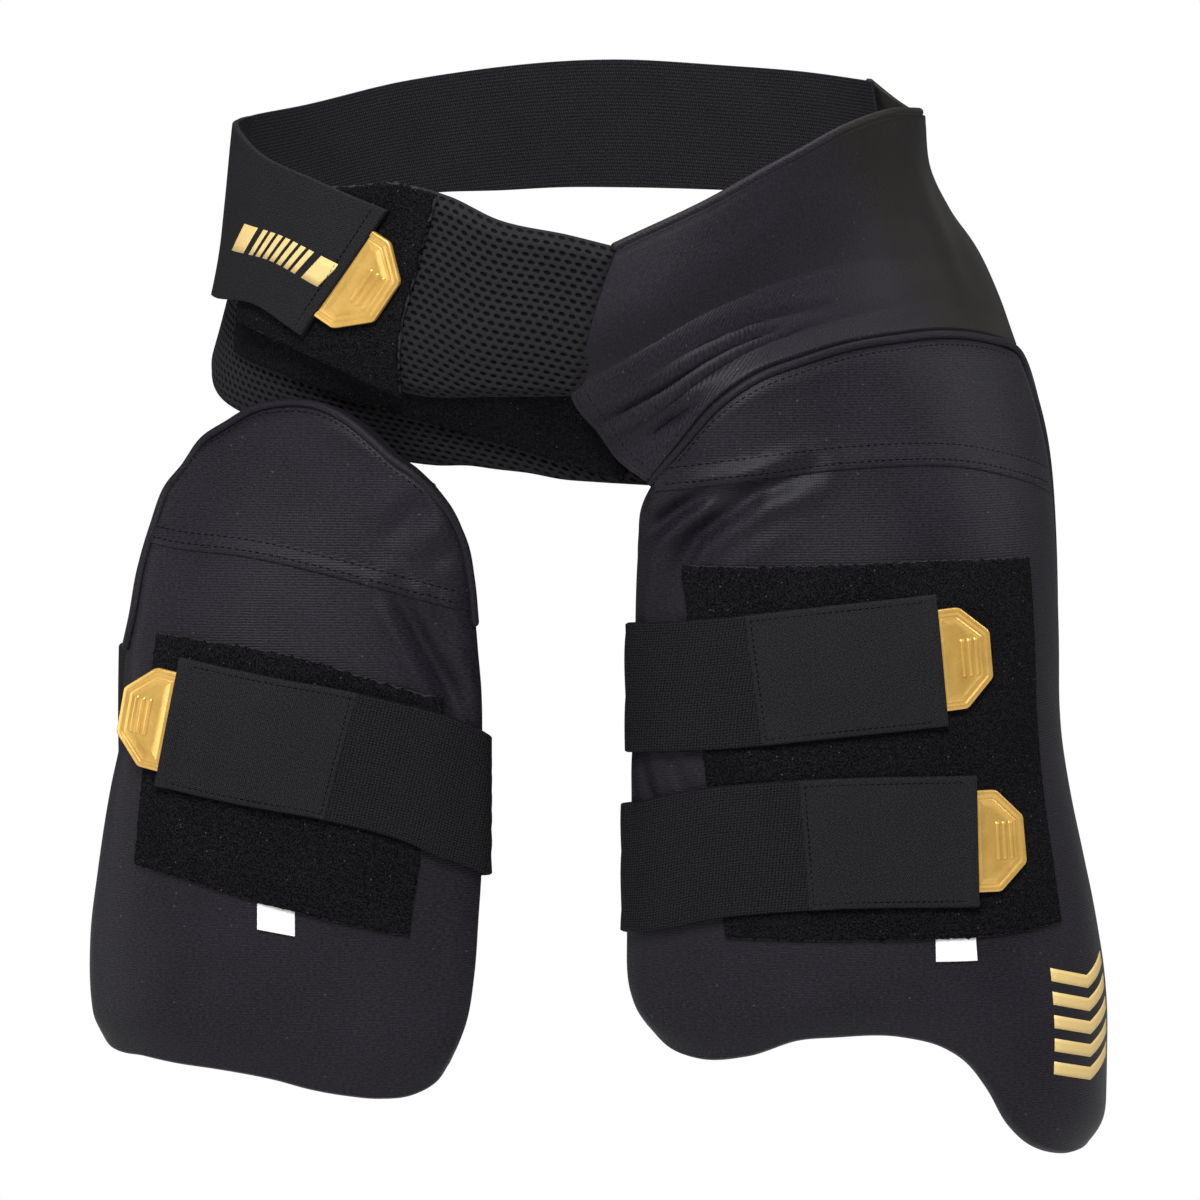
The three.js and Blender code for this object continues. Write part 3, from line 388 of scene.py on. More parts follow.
def stitches(name, rows, length, pitch, radius, material):
    """Rows of thread stitches. Each is a small five-ringed spindle laid along its row, sunk by a
    third of its radius. A row is a line of points and their normals."""
    base = np.array([[x * length, radius * r * math.cos(t), radius * r * math.sin(t)]
                     for x, r in STITCH_RINGS for t in np.linspace(0, 2 * np.pi, 6, endpoint=False)])
    places = []
    for points, normals in rows:
        run = run_along(points)

        def read(at, values, run=run):
            return np.stack([np.interp(at, run, values[:, k]) for k in range(3)], -1)
        at = np.arange(0.5 * pitch, run[-1], pitch)
        spot, up = read(at, points), unit(read(at, normals))
        ahead = read(at + 0.5, points) - read(at - 0.5, points)
        ahead = unit(ahead - up * (ahead * up).sum(-1, keepdims=True))
        side = np.cross(up, ahead)
        places.append((spot - up * radius * 0.3)[:, None] + base[None, :, :1] * ahead[:, None]
                      + base[None, :, 1:2] * side[:, None] + base[None, :, 2:] * up[:, None])
    points = np.concatenate(places)
    caps = np.array([[3, 2, 1, 0], [5, 4, 3, 0], [24, 25, 26, 27], [24, 27, 28, 29]])
    quads = np.concatenate([cells(numbers(5, 6, closed=True)), caps])
    all_quads = (quads[None] + len(base) * np.arange(len(points))[:, None, None]).reshape(-1, 4)
    uv = np.zeros((len(all_quads), 4, 2))
    return put(name, points.reshape(-1, 3), all_quads, uv, [material])


# Materials
class Wire:
    """One output in a material's node tree. Sums on wires add Math nodes."""

    def __init__(self, finish, socket):
        self.finish, self.socket = finish, socket

    def math(self, operation, *values):
        return self.finish.node("ShaderNodeMath", {"operation": operation}, dict(enumerate(values)))

    def __add__(self, other):
        return self.math("ADD", self, other)

    def __sub__(self, other):
        return self.math("SUBTRACT", self, other)

    def __mul__(self, other):
        return self.math("MULTIPLY", self, other)

    __radd__ = __add__
    __rmul__ = __mul__

    def sine(self):
        return self.math("SINE", self)

    def fraction(self):
        return self.math("FRACT", self)

    def floor(self):
        return self.math("FLOOR", self)

    def below(self, limit):
        return self.math("LESS_THAN", self, limit)

    def clipped(self):
        return self.finish.node("ShaderNodeClamp", {}, {0: self})

    def out(self, name):
        return Wire(self.finish, self.socket.node.outputs[name])


class Finish:
    """A material built node by node. What changes over a surface goes to its colour, its roughness
    and its bumps only."""

    def __init__(self, name):
        self.material = bpy.data.materials.new(name)
        self.material.use_nodes = True
        self.tree = self.material.node_tree
        self.tree.nodes.clear()

    def node(self, kind, settings, sockets, out=0):
        """Adds a node with its settings, and with wires or plain values on its sockets."""
        made = self.tree.nodes.new(kind)
        for key, value in settings.items():
            setattr(made, key, value)
        for key, value in sockets.items():
            if isinstance(value, Wire):
                self.tree.links.new(value.socket, made.inputs[key])
            else:
                made.inputs[key].default_value = value
        return Wire(self, made.outputs[out])

    def object_place(self):
        return self.node("ShaderNodeTexCoord", {}, {}, "Object")

    def cloth_place(self):
        """The piece's own place on the cloth, in metres: the whole vector, then across and down."""
        place = self.node("ShaderNodeUVMap", {"uv_map": "cloth"}, {})
        split = self.node("ShaderNodeSeparateXYZ", {}, {0: place})
        return place, split, split.out("Y")

    def noise(self, place, scale, detail=2.0, roughness=0.5, stretch=None):
        if stretch:
            place = self.node("ShaderNodeMapping", {}, {"Vector": place, "Scale": stretch})
        return self.node("ShaderNodeTexNoise", {"noise_dimensions": "3D"},
                         {"Vector": place, "Scale": scale, "Detail": detail, "Roughness": roughness})

    def dots(self, place, scale):
        """Distance from the nearest of many scattered points, as a share of their spacing."""
        return self.node("ShaderNodeTexVoronoi", {"feature": "F1"}, {"Vector": place, "Scale": scale})

    def blend(self, share, dark, light):
        """Mixes two colours, or the wires of two, by a share."""
        dark, light = (value if isinstance(value, Wire) else (*value, 1) for value in (dark, light))
        return self.node("ShaderNodeMix", {"data_type": "RGBA"}, {0: share, 6: dark, 7: light}, 2)

    def bump(self, height, distance, strength=1.0):
        sockets = {"Height": height, "Distance": distance, "Strength": strength}
        return self.node("ShaderNodeBump", {}, sockets)

    def close(self, colour, roughness, normal, **constants):
        """Ends the tree in the surface shader. constants are set on its own sockets."""
        shader = self.tree.nodes.new("ShaderNodeBsdfPrincipled")
        for key, value in (("Base Color", colour), ("Roughness", roughness), ("Normal", normal)):
            if isinstance(value, Wire):
                self.tree.links.new(value.socket, shader.inputs[key])
            elif value is not None:
                shader.inputs[key].default_value = value
        for key, value in constants.items():
            shader.inputs[key.replace("_", " ")].default_value = value
        end = self.tree.nodes.new("ShaderNodeOutputMaterial")
        self.tree.links.new(shader.outputs[0], end.inputs[0])
        return self.material


TURN = 2 * math.pi
RIB_PITCH = 0.0011
LINT_SIZE, HAIR_SIZE = 0.06, 0.07
# The hip's warm part is painted side light and shade, warmer and darker where the panel turns to the side.
# It lies past a slanting plane: a point on it, its normal and its soft width
SIDE_LIGHT_X, SIDE_LIGHT_Z, SIDE_LIGHT_RIGHT, SIDE_LIGHT_UP, SIDE_LIGHT_WIDTH = 0.107, 0.032, 0.873, 0.488, 0.012


def knit_cover(name, dark, light, turn=0.0, rough=0.5, side_light_colour=None):
    """Stretch knit: fine cross ribs broken up along their run, cloudy sheen and rare lint."""
    f = Finish(name)
    place, _, _ = f.cloth_place()
    turned = f.node("ShaderNodeMapping", {}, {"Vector": place, "Rotation": (0, 0, turn)})
    split = f.node("ShaderNodeSeparateXYZ", {}, {0: turned})
    run, rise = split, split.out("Y")
    drift = f.noise(turned, 60, 2, stretch=(1, 5, 1)) * 0.0005
    rib = ((rise + drift) * (TURN / RIB_PITCH)).sine() * 0.5 + 0.5
    loop = (run * (TURN / RIB_PITCH)).sine() * 0.5 + 0.5
    grain = f.noise(turned, 1400, 2, stretch=(0.5, 1, 1))
    cloud = f.noise(turned, 22, 3)
    shade = (rib * 0.16 + (grain - 0.5) * 1.9 + cloud * 0.5 + 0.22).clipped()
    colour = f.blend(shade, dark, light)
    # Painted side light and shade: past the plane, the knit's light colour gives way to a warmer, darker
    # one
    if side_light_colour:
        x, z = (f.node("ShaderNodeSeparateXYZ", {}, {0: f.object_place()}, axis) for axis in "XZ")
        past = ((x - SIDE_LIGHT_X) * SIDE_LIGHT_RIGHT + (z - SIDE_LIGHT_Z) * SIDE_LIGHT_UP) * (1 / SIDE_LIGHT_WIDTH) + 0.5
        colour = f.blend(past.clipped(), colour, f.blend(shade, dark, side_light_colour))
    colour = f.blend(f.dots(turned, 130).below(LINT_SIZE) * 0.07, colour, (0.35, 0.34, 0.35))
    height = rib * 0.3 + loop * rib * 0.2 + grain * 0.7
    return f.close(colour, (cloud * 0.16 + rough - 0.06), f.bump(height, 0.0002, 0.8),
                   Sheen_Weight=0.02, Sheen_Roughness=0.35, Specular_IOR_Level=0.16)


def woven(name, dark, light, across, along, rough, depth, twill=0.0):
    """Woven tape: two crossed sets of threads, pitched across and along, under a broken grain."""
    f = Finish(name)
    place, x, y = f.cloth_place()
    warp = ((x + y * twill) * (TURN / along)).sine() * 0.5 + 0.5
    weft = ((y - x * twill) * (TURN / across)).sine() * 0.5 + 0.5
    grain = f.noise(place, 1500, 2)
    cloud = f.noise(place, 40, 2)
    cell = warp * weft
    shade = (cell * 0.8 + (grain - 0.5) * 2.0 + cloud * 0.2 + 0.05).clipped()
    height = cell * 0.8 + grain * 0.4
    return f.close(f.blend(shade, dark, light), cloud * 0.1 + rough, f.bump(height, depth, 0.8),
                   Specular_IOR_Level=0.1)


def loop_pile_cloth(name, dark, light):
    """Brushed loop pile: crumbs of two sizes with deep shadow between, and a few pale hairs."""
    f = Finish(name)
    place, _, _ = f.cloth_place()
    crumb = f.noise(place, 1300, 3, 0.7)
    clump = f.noise(place, 420, 2)
    cloud = f.noise(place, 30, 2)
    shade = ((crumb - 0.42) * 3.6 + (clump - 0.5) * 0.8 + (cloud - 0.5) * 0.3).clipped()
    colour = f.blend(shade, dark, light)
    colour = f.blend(f.dots(place, 260).below(HAIR_SIZE) * 0.2, colour, (0.3, 0.3, 0.31))
    return f.close(colour, 0.95, f.bump(crumb + clump * 0.6, 0.0006, 0.9), Specular_IOR_Level=0.05)


HOLE_PITCH, HOLE_ROW, HOLE_HALF_WIDE, HOLE_HALF_TALL = 4.3, 3.0, 1.25, 0.72


def spacer_cloth(name, dark, light):
    """Spacer mesh: oval holes in staggered rows, painted dark as the shade in their depth, with knitted
    strands between them. The holes repeat those of hole_depth."""
    f = Finish(name)
    place, x, y = f.cloth_place()
    across, down = x * (1000 / HOLE_PITCH), y * (1000 / HOLE_ROW)
    odd = ((down * 0.5).floor() * 2 - down.floor()) * -0.5
    dx = ((across + odd).fraction() - 0.5) * (HOLE_PITCH / HOLE_HALF_WIDE)
    dy = (down.fraction() - 0.5) * (HOLE_ROW / HOLE_HALF_TALL)
    ring = dx * dx + dy * dy
    solid = ((ring - 0.55) * 1.3).clipped()
    strand = f.noise(place, 900, 2, 0.6, stretch=(1, 1.6, 1))
    thread = ((x + y) * (TURN / 0.0009)).sine() * 0.5 + 0.5
    cloud = f.noise(place, 30, 2)
    # Inside the holes the colour takes its dark end: painted shade in their depth
    shade = (solid * (strand * 0.75 + thread * 0.3 + cloud * 0.2)).clipped()
    height = solid * 0.8 + strand * 0.4 * solid
    return f.close(f.blend(shade, dark, light), 0.8, f.bump(height, 0.0009, 0.9), Specular_IOR_Level=0.12)


def moulded_gold(name):
    """Moulded gold plastic: a fine grain and faint rubbed streaks."""
    f = Finish(name)
    place = f.object_place()
    grain = f.noise(place, 900, 2)
    cloud = f.noise(place, 110, 3)
    colour = f.blend((grain * 0.4 + cloud * 0.6).clipped(), (0.50, 0.27, 0.045), (0.83, 0.53, 0.15))
    return f.close(colour, cloud * 0.22 + 0.26, f.bump(grain, 0.0001, 0.5), Metallic=0.55,
                   Specular_IOR_Level=0.5)


PRINT_PITCH = 0.0008


def plain_print(name, dark, light, metallic, shine=0.5):
    """Thin print or tape: one colour with a woven grain showing through."""
    f = Finish(name)
    place, x, y = f.cloth_place()
    grain = f.noise(place, 1300, 2)
    weave = (x * (TURN / PRINT_PITCH)).sine() * (y * (TURN / PRINT_PITCH)).sine() * 0.5 + 0.5
    colour = f.blend((grain * 0.7 + weave * 0.3).clipped(), dark, light)
    return f.close(colour, 0.55, f.bump(weave * 0.5 + grain * 0.5, 0.00012, 0.7), Metallic=metallic,
                   Specular_IOR_Level=shine)


knit = knit_cover("knit_cover", (0.0006, 0.0005, 0.0009), (0.0160, 0.0134, 0.0200))
# The hip knit's warmer, darker colour on its turned side is painted side light and shade
panel_knit = knit_cover("hip_knit", (0.0010, 0.0009, 0.0013), (0.0185, 0.0155, 0.0230),
                        turn=math.radians(-32), side_light_colour=(0.0165, 0.0138, 0.0125))
# The lining is dark knit like the cover. Its lighter, warmer colour is partly its own and partly painted
# light, for the light it catches at its angle
lining = knit_cover("inner_lining", (0.006, 0.0052, 0.0048), (0.030, 0.0265, 0.024), rough=0.66)
elastic = woven("waist_elastic", (0.004, 0.004, 0.005), (0.031, 0.030, 0.035),
                across=0.0016, along=0.0011, rough=0.72, depth=0.0003)
strap_elastic = woven("strap_elastic", (0.0008, 0.0008, 0.001), (0.019, 0.018, 0.0215),
                      across=0.0011, along=0.0014, rough=0.72, depth=0.0003)
facing = woven("facing_tape", (0.003, 0.003, 0.0035), (0.024, 0.023, 0.027),
               across=0.0009, along=0.0009, rough=0.66, depth=0.00018, twill=0.5)
loop_pile = loop_pile_cloth("loop_pile", (0.0008, 0.0008, 0.001), (0.016, 0.0158, 0.0185))
pile_edge = woven("pile_cut_edge", (0.01, 0.01, 0.011), (0.06, 0.059, 0.064),
                  across=0.0009, along=0.0009, rough=0.85, depth=0.0003)
spacer = spacer_cloth("spacer_mesh", (0.001, 0.001, 0.0013), (0.021, 0.0202, 0.0235))
thread = plain_print("black_thread", (0.0006, 0.0006, 0.0008), (0.002, 0.002, 0.0025), 0, shine=0.02)
gold = moulded_gold("gold_tab")
gold_print = plain_print("gold_print", (0.58, 0.40, 0.13), (0.84, 0.63, 0.27), 0.2)
label_cloth = plain_print("label_cloth", (0.72, 0.72, 0.70), (0.93, 0.93, 0.92), 0)


# Tables of the pads' outlines and of what lies on them: angle, then drop as a share of the height
def outer(rows):
    return [(a, OUTER_TOP_Z - d * OUTER_TALL) for a, d in rows]


def inner(rows):
    return [(a, INNER_TOP_Z - d * INNER_TALL) for a, d in rows]


OUTER_TOP = outer([
    (-51.5, 0.178), (-43.8, 0.136), (-34.1, 0.083), (-24.3, 0.051), (-14, 0.033), (-0.6, 0.015),
    (13.2, 0.005), (27.4, 0), (40, 0.006), (53, 0.022)])
OUTER_RIGHT = outer([
    (53, 0.022), (63, 0.09), (70, 0.142), (74, 0.182), (77, 0.231), (79, 0.275), (81, 0.321),
    (83, 0.367), (86, 0.41), (93, 0.497), (102, 0.598), (108, 0.714), (110, 0.829), (106, 0.91),
    (98, 0.965), (86, 0.992)])
OUTER_BOTTOM = outer([
    (-54.4, 0.846), (-47.6, 0.87), (-40.9, 0.877), (-28.2, 0.87), (-14.2, 0.848), (-4.3, 0.844),
    (13, 0.843), (23.2, 0.855), (29.4, 0.874), (35.6, 0.911), (41.6, 0.959), (46.6, 0.982),
    (57, 1.002), (72, 1.004), (86, 0.992)])
OUTER_LEFT = outer([
    (-51.5, 0.178), (-54.2, 0.2), (-56.2, 0.271), (-57, 0.364), (-57.6, 0.445), (-58.2, 0.584),
    (-59.6, 0.73), (-58.8, 0.8), (-54.4, 0.846)])
INNER_TOP = inner([
    (-28.7, 0.126), (-24.4, 0.098), (-19, 0.057), (-12.4, 0.034), (-5.7, 0.013), (4.6, 0.002),
    (12.4, 0.006), (19.6, 0.025), (26.4, 0.057), (31, 0.083), (34.8, 0.1), (39.2, 0.127)])
INNER_RIGHT = inner([
    (39.2, 0.127), (43.2, 0.16), (46.2, 0.203), (47.7, 0.258), (48.5, 0.319), (49.6, 0.412),
    (50, 0.55), (49.8, 0.676), (49.1, 0.751), (48.2, 0.833), (46.6, 0.9), (43.2, 0.96)])
INNER_BOTTOM = inner([
    (-54.6, 0.925), (-49.6, 0.945), (-37.5, 0.95), (-26.5, 0.956), (-16, 0.961), (0.6, 0.976),
    (10.8, 0.991), (20.3, 1.001), (28.1, 1.006), (35, 1.003), (40.4, 0.986), (43.2, 0.96)])
INNER_LEFT = inner([
    (-28.7, 0.126), (-32.5, 0.181), (-36.1, 0.249), (-38.2, 0.314), (-40, 0.354), (-42.5, 0.498),
    (-46, 0.56), (-52.4, 0.689), (-57.2, 0.795), (-57.6, 0.862), (-54.6, 0.925)])
OUTER_HEM = outer([
    (-50, 0.176), (-38, 0.168), (-26.7, 0.161), (-0.6, 0.148), (30.2, 0.149), (46.9, 0.164),
    (66, 0.184)])
INNER_HEM = inner([(-33, 0.194), (-27, 0.2), (-5.4, 0.212), (24.2, 0.248), (42, 0.28), (45.5, 0.287)])

# Folds in the covers: a line of angle and drop, the width and the depth in millimetres
OUTER_FOLDS = [
    ([(-11, 0.160), (-24.3, 0.186), (-33.8, 0.216), (-39.8, 0.240), (-44.2, 0.277), (-47.9, 0.335)],
     4.4, 6.0),
    ([(-26, 0.180), (-38.1, 0.193), (-43.7, 0.209), (-48.8, 0.226), (-53, 0.240)], 3.6, 4.4),
    ([(-18, 0.205), (-28.0, 0.228), (-36, 0.262), (-40, 0.300), (-42, 0.345)], 5, 2.2),
    ([(-54.5, 0.500), (-52, 0.545), (-50, 0.575)], 3.5, 1.5),
    ([(-47, 0.495), (-44.6, 0.530), (-41.1, 0.560)], 3, 1.2),
    ([(-50.5, 0.497), (-48.3, 0.535), (-46, 0.565)], 2.5, 0.8),
    ([(14, 0.800), (27, 0.825), (36, 0.880), (44, 0.940)], 12, 1.6),
]
INNER_FOLDS = [
    ([(31.5, 0.270), (35.3, 0.313), (40.2, 0.375), (43.5, 0.419), (45.2, 0.480)], 4.0, 4.6),
    ([(38.8, 0.280), (42.1, 0.328), (45, 0.375)], 3.2, 2.0),
    ([(29.5, 0.205), (34.5, 0.167), (38.2, 0.137)], 5, 1.5),
    ([(38.5, 0.232), (45.5, 0.208)], 4, 1.0),
]


# The foam's unevenness: how long each wave is and how high, and how far in it is full
PAD_WAVES, PAD_CALM = ((70, 0.28), (24, 0.1)), 20


class Pad:
    """A foam pad in its cover. flat turns shares u and v into angle and height, and face gives the
    finished outer surface."""

    def __init__(self, body, edges, top_z, tall, wide, rolls, folds, seed):
        self.body, self.tall, self.wide, self.rolls, self.seed = body, tall, wide, rolls, seed
        self.flat = filled(*(through(rows) for rows in edges))
        self.folds = [([(a * DEGREE_RUN, top_z - d * tall) for a, d in line], width, deep)
                      for line, width, deep in folds]

    def depth(self, u, v, angle, height):
        """How far the cover stands off the body: rolled down to the seams on a sine curve near the
        four edges, with the folds and a slow unevenness added."""
        drops = 0.0
        edges = (u * self.wide, (1 - u) * self.wide, v * self.tall, (1 - v) * self.tall)
        for distance, (width, deep) in zip(edges, self.rolls):
            drops = drops + (deep * (1 - np.sin(np.pi / 2 * np.clip(distance / width, 0, 1)))) ** 4
        lift = -drops ** 0.25
        x, y = angle * DEGREE_RUN, height
        for line, width, deep in self.folds:
            lift = lift + valley(x, y, line, width, deep)
        inside = ease(np.minimum.reduce(edges) / PAD_CALM)
        for k, (size, high) in enumerate(PAD_WAVES):
            lift = lift + high * inside * ripple(x, y, size, self.seed + k)
        return lift

    def face(self, u, v):
        """The cover's outer surface at shares u and v."""
        u, v = np.broadcast_arrays(np.asarray(u, float), np.asarray(v, float))
        flat = self.flat(u, v)
        angle, height = flat[..., 0], flat[..., 1]
        lift = self.depth(u, v, angle, height)
        return on_body(self.body, angle, height) + body_normal(self.body, angle, height) * lift[..., None]

    def shares_at(self, angle, height):
        """The shares at which flat reaches that angle and height, by Newton steps."""
        target = np.stack(np.broadcast_arrays(angle, height), -1).astype(float)
        u, v = np.full(target.shape[:-1], 0.5), np.full(target.shape[:-1], 0.5)
        step = 1e-3
        for _ in range(14):
            du = (self.flat(u + step, v) - self.flat(u - step, v)) / (2 * step)
            dv = (self.flat(u, v + step) - self.flat(u, v - step)) / (2 * step)
            miss = target - self.flat(u, v)
            scale = du[..., 0] * dv[..., 1] - du[..., 1] * dv[..., 0]
            u = np.clip(u + (miss[..., 0] * dv[..., 1] - miss[..., 1] * dv[..., 0]) / scale, 0.001, 0.999)
            v = np.clip(v + (miss[..., 1] * du[..., 0] - miss[..., 0] * du[..., 1]) / scale, 0.001, 0.999)
        return u, v

    def at(self, angle, height, lift=0.0):
        """Points on the cover by angle and height, lifted along its normal."""
        u, v = self.shares_at(angle, height)
        normal = tangent_normal(self.face, u, v)
        return self.face(u, v) + normal * np.broadcast_to(lift, u.shape)[..., None], normal


# rolls: width and depth of the roll at the left, right, top and bottom edge
outer_pad = Pad(OUTER_LEG, (OUTER_TOP, OUTER_BOTTOM, OUTER_LEFT, OUTER_RIGHT), OUTER_TOP_Z, OUTER_TALL,
                OUTER_WIDE, ((14, 3.2), (12, 2.2), (11, 2.6), (26, 6)), OUTER_FOLDS, 11)
inner_pad = Pad(INNER_LEG, (INNER_TOP, INNER_BOTTOM, INNER_LEFT, INNER_RIGHT), INNER_TOP_Z, INNER_TALL,
                INNER_WIDE, ((14, 3.2), (14, 3.2), (11, 3.2), (22, 5)), INNER_FOLDS, 23)


def pad_piece(name, pad, thickness, across, down, node):
    """A pad as one closed padded form: the face, a bulging wall and the lining behind, on a grid
    drawn a little closer along the edges by a sine."""
    even = (np.linspace(0, 1, count) for count in (across, down))
    u, v = grid(*(t - 0.05 * np.sin(2 * np.pi * t) for t in even))
    flat = pad.flat(u, v)
    angle, height = flat[..., 0], flat[..., 1]
    made = shell(name, on_body(pad.body, angle, height), -thickness, pad.depth(u, v, angle, height),
                 [knit, lining], bulge=WALL_BULGE, rim_rows=5, region=(0, 0, 1),
                 uv=np.stack([angle * DEGREE_CLOTH, height], -1))
    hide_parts(node)


pad_piece("outer_thigh_cover", outer_pad, OUTER_THICK, 151, 191, "outer_thigh_pad")
pad_piece("inner_thigh_cover", inner_pad, INNER_THICK, 121, 161, "inner_thigh_pad")


def cloth_sheet(made, node, points):
    """Hides the solid that node names. The piece made is not used, and the margins worked out from points
    are not used either.
    """
    left, _, top, _ = margins(points)
    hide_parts(node)


# Piping along the pads' edges
def beside_edge(body, rows, distance, depth, count):
    """Points beside a curve of edge rows, moved out across the edge and off the body, with the
    body's normals there."""
    curve = through(rows)
    t = np.linspace(0, 1, count)

    def place(share, degrees=0.0, rise=0.0):
        row = curve(np.clip(share, 0, 1))
        return on_body(body, row[..., 0] + degrees, row[..., 1] + rise)
    along = place(t + 0.01) - place(t - 0.01)
    normal = unit(np.cross(place(t, 0.5) - place(t, -0.5), place(t, 0, 1) - place(t, 0, -1)))
    return place(t) + unit(np.cross(normal, along)) * distance + normal * depth, normal


OUTER_SEAT = PIPING_RADIUS + WALL_BULGE - GAP
INNER_SEAT = PIPING_RADIUS + 2 * GAP
# How far the cord lies in over the roll, and above it, to be seen as a sewn edge
CORD_IN, CORD_UP = 2.9, 1.1
OUTER_PIPED = [*OUTER_TOP, *OUTER_RIGHT[1:10]]
INNER_PIPED = [*INNER_LEFT[1:5][::-1], *INNER_TOP, *INNER_RIGHT[1:5]]
for name, body, rows, seat, node in (
        ("outer_piped_edge", OUTER_LEG, OUTER_PIPED, OUTER_SEAT, "outer_piping"),
        ("inner_piped_edge", INNER_LEG, INNER_PIPED, INNER_SEAT, "inner_piping")):
    line, normal = beside_edge(body, rows, seat - CORD_IN, CORD_UP - PAD_ROLL, 260)
    made = tube(name, line, normal, PIPING_RADIUS, [knit], sides=14)
    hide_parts(node)


# Pocket hems: a doubled band across each pad, raised along its lower edge
def band_flat(path, width, u, v, body):
    """Angle and height in a band along a path, moved square to it: v runs from its upper edge to
    its lower."""
    t = np.clip(u, 0, 1)
    here, before, after = path(t), path(np.maximum(0, t - 0.005)), path(np.minimum(1, t + 0.005))
    degree = np.radians(1) * reach(body, here[..., 0], here[..., 1])
    run = (after[..., 0] - before[..., 0]) * degree
    rise = after[..., 1] - before[..., 1]
    up = (0.5 - v) * width / np.hypot(run, rise)
    return here[..., 0] - rise * up / degree, here[..., 1] + run * up


def hem_piece(name, pad, rows, width, shift, node, seams):
    """A doubled hem: thin at its upper edge, full at its lower, with rows of stitches that lie
    above its lower edge by each of seams."""
    path = through(rows)
    length = run_along(on_body(pad.body, *path(np.linspace(0, 1, 60)).T))[-1]
    u, v = grid(shares(length, 2.0), shares(width, 1.0, 0.4))

    def thick(v):
        return HEM_THICK * (0.25 + 0.75 * ease(v * 1.3))
    angle, height = band_flat(path, width, u, v, pad.body)
    points, _ = pad.at(angle, height + shift)
    made = shell(name, points, -LAYER_GAP, thick(v) - rounding((1 - v) * width, HEM_EDGE) * 0.7, [knit],
                 bulge=0.25, uv=np.stack([angle * DEGREE_CLOTH, height], -1))
    cloth_sheet(made, node, points)
    for above in seams:
        v = 1 - above / width
        angle, height = band_flat(path, width, np.linspace(0.02, 0.98, 120), np.full(120, v), pad.body)
        seam_rows.append(pad.at(angle, height + shift, thick(v)))


seam_rows = []
hem_piece("outer_pocket_hem_cloth", outer_pad, OUTER_HEM, 10.5, 1.2, "outer_pocket_hem", (2.6, 9.2))
hem_piece("inner_pocket_hem_cloth", inner_pad, INNER_HEM, 8.5, 0.6, "inner_pocket_hem", (2.6, 7.2))

# Stitches under the piping
UNDER_PIPING = 4.2
for pad, rows, count in ((outer_pad, OUTER_TOP, 160), (inner_pad, INNER_TOP, 120)):
    line = through(rows)(np.linspace(0.03, 0.97, count))
    seam_rows.append(pad.at(line[:, 0], line[:, 1] - UNDER_PIPING))
stitches("seam_stitches", seam_rows, 2.0, 3.1, 0.28, thread)


# Loop patches and labels
def pile_cover(name, points, bottom, top, crumb, loose, seed, node):
    """Loop pile between two lifts: its top is crumbled by a seeded noise and rolled over at the
    edges, and the points along the edges are loosened."""
    rng = np.random.default_rng(seed)
    edge = np.minimum.reduce(margins(points))
    lift = top - rounding(edge, PILE_EDGE) + rng.normal(0, crumb, edge.shape) * ease(edge)
    jitter = rng.normal(0, loose, points.shape) * (edge < 0.6)[..., None]
    made = shell(name, points + jitter, bottom, lift, [loop_pile, pile_edge], bulge=0.3, region=(0, 1, 0))
    cloth_sheet(made, node, points)


def patch_piece(name, pad, rows, node, cell):
    """A loop patch on a pad: flat shares filled between four edges, lifted off the cover."""
    flat = filled(*(through(r) for r in rows))
    corner = [on_body(pad.body, *flat(a, b)) for a, b in ((0.0, 0.5), (1.0, 0.5), (0.5, 0.0), (0.5, 1.0))]
    wide, tall = np.linalg.norm(corner[0] - corner[1]) * 1.1, np.linalg.norm(corner[2] - corner[3])
    u, v = grid(shares(wide, cell, 0.7), shares(tall, cell, 0.7))
    place = flat(u, v)
    points, _ = pad.at(place[..., 0], place[..., 1])
    pile_cover(name, points, 0.1, LAYER_GAP + PATCH_THICK, 0.09, 0.05, len(name), node)


OUTER_PATCH = (outer([(-43.1, 0.276), (-16.8, 0.275), (20.4, 0.27), (50.4, 0.272)]),
               outer([(-32.2, 0.723), (-2.1, 0.723), (37.1, 0.719), (52.8, 0.713)]),
               outer([(-43.1, 0.276), (-32.2, 0.723)]),
               outer([(50.4, 0.272), (52, 0.36), (53, 0.466), (52.8, 0.713)]))
INNER_PATCH = (inner([(-29.2, 0.334), (7.7, 0.365), (41.3, 0.426)]),
               inner([(-35.7, 0.667), (-23.2, 0.682), (-1, 0.718), (34.2, 0.767)]),
               inner([(-29.2, 0.334), (-35.7, 0.667)]),
               inner([(41.3, 0.426), (34.2, 0.767)]))
patch_piece("outer_pile_patch", outer_pad, OUTER_PATCH, "outer_loop_patch", 1.25)
patch_piece("inner_pile_patch", inner_pad, INNER_PATCH, "inner_loop_patch", 1.25)


def label_piece(name, pad, rows, share, below, tilt, node):
    """A blank woven label that hangs from under a patch, curled a little off the cover."""
    spot = through(rows)(share)
    half = LABEL_WIDE / 2 / (np.radians(1) * reach(pad.body, spot[0], spot[1]))
    u, v = grid(shares(LABEL_WIDE, 1.0, 0.4), shares(LABEL_TALL + LABEL_TUCK, 1.0, 0.4))
    angle = spot[0] + (2 * u - 1) * half
    height = spot[1] - below + LABEL_TUCK - tilt * (u - 0.5) - v * (LABEL_TALL + LABEL_TUCK)
    points, normal = pad.at(angle, height)
    points = points + normal * (0.25 + 0.7 * v ** 2)[..., None]
    top = LABEL_THICK - 0.25 - rounding(np.minimum.reduce(margins(points)), 0.2)
    made = shell(name, points, 0.0, top, [label_cloth], bulge=0.05, rim_rows=1)
    cloth_sheet(made, node, points)


